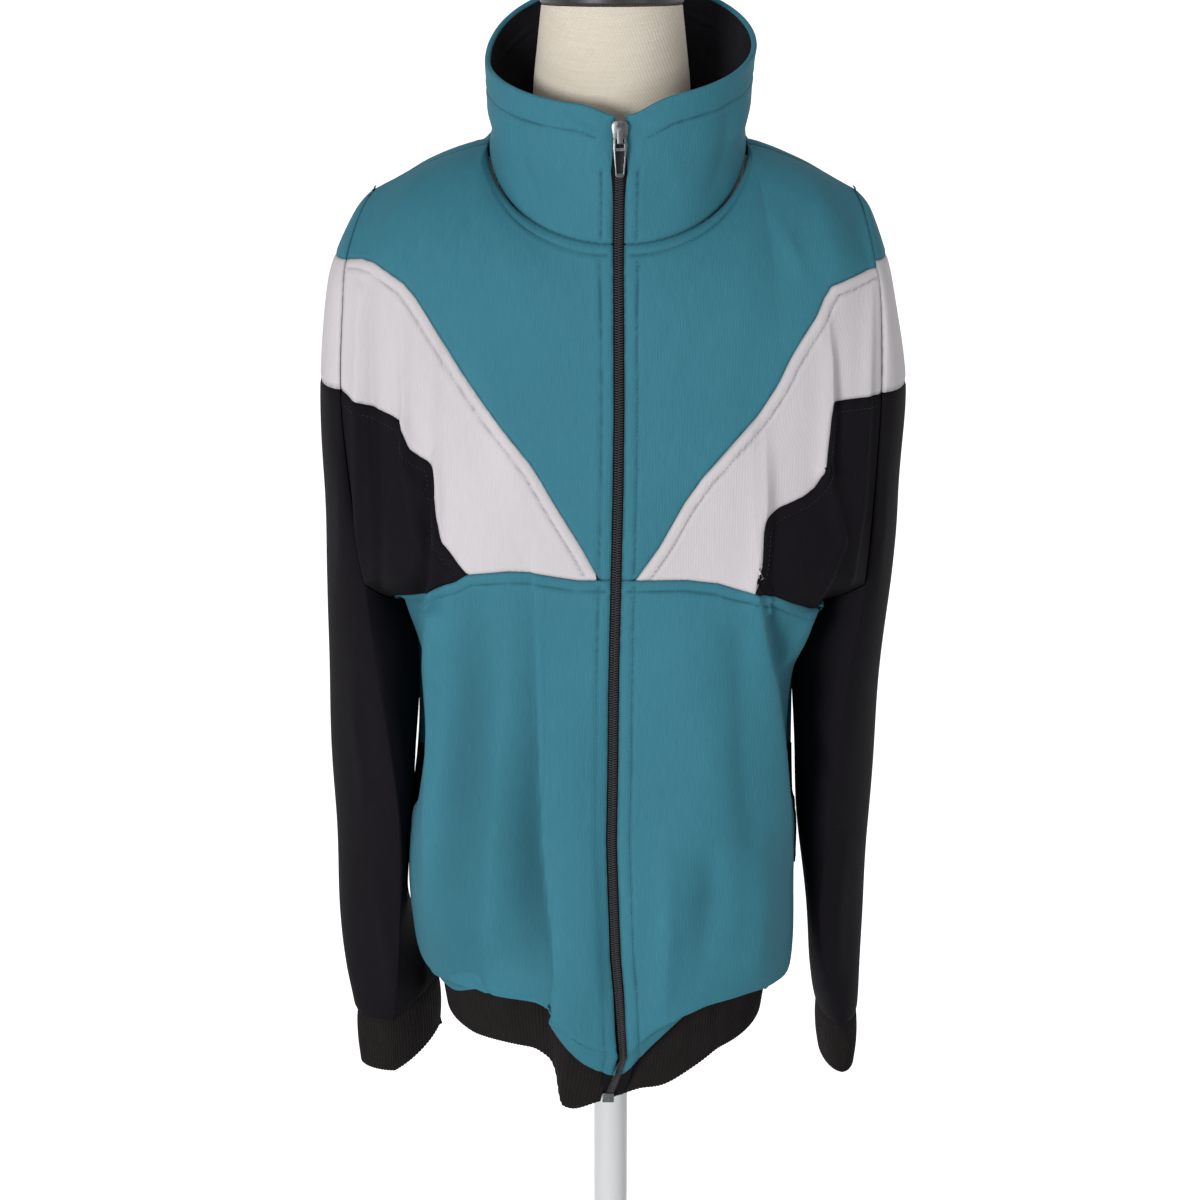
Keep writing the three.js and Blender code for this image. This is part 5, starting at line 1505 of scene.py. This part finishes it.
# Repeats one small rounded bead at every point of a mesh, turned by the point's own angles.
def bead_tree(name, size, material, segments, rings):
    tree = bpy.data.node_groups.new(name, "GeometryNodeTree")
    for way in ("INPUT", "OUTPUT"):
        tree.interface.new_socket("Geometry", in_out=way, socket_type="NodeSocketGeometry")

    def node(kind, **values):
        made = tree.nodes.new(kind)
        for key, value in values.items():
            made.inputs[key].default_value = value
        return made

    start, end = node("NodeGroupInput"), node("NodeGroupOutput")
    ball = node("GeometryNodeMeshUVSphere", Radius=0.5, Segments=segments, Rings=rings)
    shape = node("GeometryNodeTransform", Scale=[v * METRE for v in size])
    turn = node("GeometryNodeInputNamedAttribute", Name="turn")
    turn.data_type = "FLOAT_VECTOR"
    points = node("GeometryNodeMeshToPoints")
    copies = node("GeometryNodeInstanceOnPoints")
    real = node("GeometryNodeRealizeInstances")
    smooth = node("GeometryNodeSetShadeSmooth")
    paint = node("GeometryNodeSetMaterial", Material=material)
    links = [
        (start, "Geometry", points, "Mesh"),
        (ball, "Mesh", shape, "Geometry"),
        (points, "Points", copies, "Points"),
        (shape, "Geometry", copies, "Instance"),
        (turn, "Attribute", copies, "Rotation"),
        (copies, "Instances", real, "Geometry"),
        (real, "Geometry", smooth, "Geometry"),
        (smooth, "Geometry", paint, "Geometry"),
        (paint, "Geometry", end, "Geometry"),
    ]
    for source, out, target, into in links:
        tree.links.new(source.outputs[out], target.inputs[into])
    return tree


def angles_from(along, across):
    out = unit(np.cross(along, across))
    side = np.cross(out, along)
    return np.array([tuple(Matrix(axes).transposed().to_euler()) for axes in zip(along, side, out)])


def beads(name, points, turns, size, material, segments, rings):
    mesh = bpy.data.meshes.new(name)
    mesh.from_pydata((points * METRE).tolist(), [], [])
    attribute = mesh.attributes.new("turn", "FLOAT_VECTOR", "POINT")
    attribute.data.foreach_set("vector", np.asarray(turns, dtype=np.float32).ravel())
    source = linked(name + "_points", mesh)
    tree = bead_tree(name + "_nodes", size, material, segments, rings)
    source.modifiers.new("beads", "NODES").node_group = tree
    depsgraph = bpy.context.evaluated_depsgraph_get()
    made = bpy.data.meshes.new_from_object(source.evaluated_get(depsgraph))
    made.name = name
    bpy.data.objects.remove(source)
    return linked(name, made)


def make_stitches():
    for colour, runs in stitch_runs.items():
        places, turns = [], []
        for points, outs in runs:
            arc = arc_along(points)
            at = np.arange(stitch_pitch / 2, arc[-1], stitch_pitch)
            if len(at) < 2:
                continue
            place, out = at_arc(points, arc, at), unit(at_arc(outs, arc, at))
            along = unit(np.gradient(place, axis=0))
            places.append(place + out * stitch_rise)
            turns.append(angles_from(along, np.cross(out, along)))
        piece = beads(f"topstitch_{colour}", np.concatenate(places), np.concatenate(turns), stitch_size,
                      finishes[colour + "_thread"], 6, 4)
        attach(piece, BODY)


def make_teeth(side):
    s = sign_of[side]
    z = np.arange(zip_low, slider_z - 6.5, tooth_pitch) + (tooth_pitch / 2 if side == "left" else 0)
    place, along, out = zip_frame(z)
    across = np.broadcast_to(np.array([s, 0.0, 0.0]), place.shape)
    lean = unit(across + along * 0.2)
    centre = place + across * 1.25 + out * 0.1
    turns = angles_from(lean, np.cross(out, lean))
    piece = beads("zip_teeth_" + side, centre, turns, tooth_size, finishes["coil"], 8, 6)
    stand_in(piece, "zip_coil_" + side)


# A finer copy of a hard node, with its edges rounded
def rounded_copy(node, name, finish, body, width, recess=None):
    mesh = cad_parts[node].data.copy()
    work = bmesh.new()
    work.from_mesh(mesh)
    bmesh.ops.remove_doubles(work, verts=work.verts, dist=0.00001)
    bmesh.ops.dissolve_limit(work, angle_limit=math.radians(4), verts=work.verts, edges=work.edges)
    work.to_mesh(mesh)
    work.free()
    piece = linked(name, mesh)
    bevel = piece.modifiers.new("soft_edges", "BEVEL")
    bevel.width = width * METRE
    bevel.segments = 3
    bevel.limit_method = "ANGLE"
    bevel.angle_limit = math.radians(28)
    depsgraph = bpy.context.evaluated_depsgraph_get()
    made = bpy.data.meshes.new_from_object(piece.evaluated_get(depsgraph))
    piece.modifiers.clear()
    piece.data = made
    made.polygons.foreach_set("use_smooth", [True] * len(made.polygons))
    made.set_sharp_from_angle(angle=math.radians(40))
    dress(piece, finish)
    if recess is not None:
        face_y = min(vertex.co.y for vertex in made.vertices)
        made.materials.append(finishes["dark_metal"])
        for polygon in made.polygons:
            if polygon.normal.y < -0.7 and polygon.center.y > face_y + recess * METRE:
                polygon.material_index = 1
    stand_in(piece, node, body)


# Dress form

form_rows = table(
    "z half front back square",
    [790, 112, -84, 90, 2.2],
    [850, 112, -90, 92, 2.2],
    [935, 95, -80, 76, 2.2],
    [1010, 104, -90, 82, 2.3],
    [1090, 116, -100, 90, 2.4],
    [1160, 126, -92, 94, 2.4],
    [1230, 146, -76, 90, 2.3],
    [1290, 150, -62, 78, 2.2],
    [1345, 150, -52, 62, 2.2],
)
neck_rows = table(
    "z half centre_y",
    [1290, 66, 10],
    [1320, 60, 10],
    [1350, 55, 8],
    [1385, 53, 5],
    [1434.7, 47.5, 0],
)
form_clearance = 2.6
neck_dip = 10


def inside_form(x, y, z):
    neck = (z >= neck_rows["z"][0]) & (
        np.hypot(x, y - look_up(neck_rows, "z", z, "centre_y")) < look_up(neck_rows, "z", z, "half"))
    size = {name: look_up(form_rows, "z", z, name) for name in ("half", "front", "back", "square")}
    depth = np.where(y < shoulder_y, size["front"], size["back"]) - shoulder_y
    spread = (np.abs(x) / size["half"]) ** size["square"] + np.abs((y - shoulder_y) / depth) ** size["square"]
    half = np.where(x > 0, neck_half["left"], neck_half["right"])
    tip = np.where(x > 0, *(sleeve_rows[side]["front_x"][0] for side in ("left", "right")))
    along = np.maximum((np.abs(x) - half) / (tip - half), 0)
    roll_radius = np.where(y < shoulder_y, 11, 14)
    dip = neck_dip * ease((half + 8 - np.abs(x)) / 12)
    under = z < shoulder_z(along) - form_clearance - dip - (y - shoulder_y) ** 2 / (2 * roll_radius)
    return neck | ((z <= form_top) & (spread <= 1) & under)


def make_form():
    levels = np.concatenate([np.linspace(form_bottom, form_shoulder, 60),
                             np.linspace(form_shoulder, form_top, 60)[1:],
                             np.linspace(form_top, neck_top, 40)[1:]])
    farthest = 220.0
    angle, z = np.meshgrid(np.linspace(0, 2 * math.pi, 145), levels)
    near, far = np.zeros_like(z), np.full_like(z, farthest)
    for _ in range(26):
        middle = (near + far) / 2
        inside = inside_form(middle * np.cos(angle), shoulder_y + middle * np.sin(angle), z)
        near, far = np.where(inside, middle, near), np.where(inside, far, middle)
    radius = softened(near, 2)
    radius[:, -1] = radius[:, 0]
    edge_round = 5.0
    from_low = (levels - form_bottom)[:, None]
    radius = radius - np.where(from_low < edge_round, edge_round - np.sqrt(
        np.maximum(edge_round ** 2 - (edge_round - from_low) ** 2, 0)), 0)
    grid = np.stack([radius * np.cos(angle), shoulder_y + radius * np.sin(angle), z], -1)
    closed_shape("form_linen_cover", grid, "linen", "form_torso")


# A closed body from rings: each ring is a row, and the ends are closed by a fan
def closed_shape(name, grid, finish, node):
    rows, columns = grid.shape[0], grid.shape[1] - 1
    points = np.concatenate([grid[:, :columns].reshape(-1, 3),
                             grid[0, :columns].mean(axis=0)[None], grid[-1, :columns].mean(axis=0)[None]])
    uv = arc_uv(grid)
    low, high = rows * columns, rows * columns + 1
    faces, uvs = [], []
    for i in range(rows - 1):
        for j in range(columns):
            k = (j + 1) % columns
            faces.append((i * columns + j, i * columns + k, (i + 1) * columns + k, (i + 1) * columns + j))
            uvs.extend([uv[i, j], uv[i, j + 1], uv[i + 1, j + 1], uv[i + 1, j]])
    last = (rows - 1) * columns
    for j in range(columns):
        k = (j + 1) % columns
        faces.append((k, j, low))
        faces.append((last + j, last + k, high))
        uvs.extend([uv[0, j + 1], uv[0, j], uv[0, j] * 0.5, uv[-1, j], uv[-1, j + 1], uv[-1, j] * 0.5])
    piece = new_object(name, points, faces, np.array(uvs))
    dress(piece, finish)
    stand_in(piece, node)


def turned(name, profile, centre_y, finish, node, slot, steps=96):
    radius, height = np.array(profile, dtype=float).T
    angle = np.linspace(0, 2 * math.pi, steps + 1)[None]
    radius, height = radius[:, None], height[:, None]
    grid = np.stack([radius * np.cos(angle), centre_y + radius * np.sin(angle),
                     height + 0 * angle], -1)
    closed_shape(name, grid, finish, node)


def rounded_edge(radius, low, high, bend):
    turns = np.linspace(0, math.pi / 2, 6)
    lower = [(radius - bend + bend * math.sin(a), low + bend - bend * math.cos(a)) for a in turns]
    upper = [(radius - bend + bend * math.cos(a), high - bend + bend * math.sin(a)) for a in turns]
    return lower + upper


def make_stand():
    cap_top = cap_bottom + cap_height
    dome = [(cap_radius * (1 - t), cap_top + cap_dome * math.sin(t * math.pi / 2))
            for t in (0.15, 0.35, 0.6, 0.85)]
    turned("neck_cap_satin", rounded_edge(cap_radius, cap_bottom, cap_top, 2.2) + dome, 0, "cap",
           "form_neck_cap", "cap_satin")
    pole = rounded_edge(pole_radius, pole_foot, form_bottom - seam_gap, 0.6)
    turned("pole_tube", pole, shoulder_y, "stand", "stand_pole", "stand_steel", 64)
    foot = [(166, 10.6), (150, 11.6), (110, 12.6), (60, 13.6), (40, 14.4), (32, 16.4), (27, 19), (25, 20),
            (14, 20)]
    turned("base_plate", rounded_edge(base_radius, 0, base_height, 1.6) + foot, 0, "stand", "stand_base",
           "stand_steel", 144)


# Camera, floor and light

def make_studio():
    data = bpy.data.cameras.new("camera")
    camera = linked("camera", data)
    camera.location = Vector(camera_place) * METRE
    camera.rotation_euler = (math.pi / 2 - camera_pitch, 0, 0)
    data.sensor_width = sensor_width
    data.lens = focal_px * sensor_width / photo_size
    data.clip_end = 300
    bpy.context.scene.camera = camera

    half = 120
    corners = [(-half, -half, 0), (half, -half, 0), (half, half, 0), (-half, half, 0)]
    floor = bpy.data.meshes.new("floor")
    floor.from_pydata(corners, [], [(0, 1, 2, 3)])
    stage = linked("floor", floor)
    paint = Finish("floor_paint")
    place = paint.node("ShaderNodeSeparateXYZ", None, (paint.object_place(),))
    behind = paint.out("ShaderNodeMapRange", {"interpolation_type": "SMOOTHSTEP"},
                       {"Value": Value(paint, place.outputs[1]), "From Min": 0.25, "From Max": 0.95,
                        "To Min": 0.0, "To Max": 1.0})
    paint.set(colour=(0.55, 0.55, 0.55, 1), roughness=0.9, specular=0.1,
              glow=paint.mixed(behind, (0.0, 0.0, 0.0, 1), (1.0, 1.0, 1.0, 1)), glow_strength=1.0)
    floor.materials.append(paint.material)

    world = bpy.data.worlds.new("studio")
    world.use_nodes = True
    bpy.context.scene.world = world
    sky = world.node_tree.nodes["Background"]
    sky.inputs["Color"].default_value = (1.0, 1.0, 1.0, 1)
    sky.inputs["Strength"].default_value = 0.4
    lights = [
        ("key", (-1.6, -2.8, 1.25), (0, 0, 1.0), 1.1, 64),
        ("fill", (2.2, -2.4, 1.1), (0, 0, 1.0), 1.6, 13),
        ("back", (0.4, 2.2, 2.4), (0, 0, 1.1), 1.5, 4),
    ]
    for name, place, aim, size, power in lights:
        lamp = bpy.data.lights.new(name, "AREA")
        lamp.shape = "DISK"
        lamp.size = size
        lamp.energy = power
        light = linked(name, lamp)
        light.location = place
        light.rotation_euler = (Vector(aim) - Vector(place)).to_track_quat("-Z", "Y").to_euler()
    bpy.context.scene.view_settings.view_transform = "Standard"


make_studio()
for side in ("left", "right"):
    make_front(side)
    make_pocket(side)
    make_sleeve(side)
    make_cuff(side)
    make_tape(side)
    make_teeth(side)
make_back()
make_hem_band()
make_collar()
make_stitches()
rounded_copy("zip_slider", "slider_metal", "metal", BODY, 0.3)
rounded_copy("zip_pull_tab", "pull_tab_metal", "metal", TAB, 0.22, 0.3)
rounded_copy("zip_bottom_box", "bottom_box_metal", "metal", BODY, 0.4)
make_form()
make_stand()
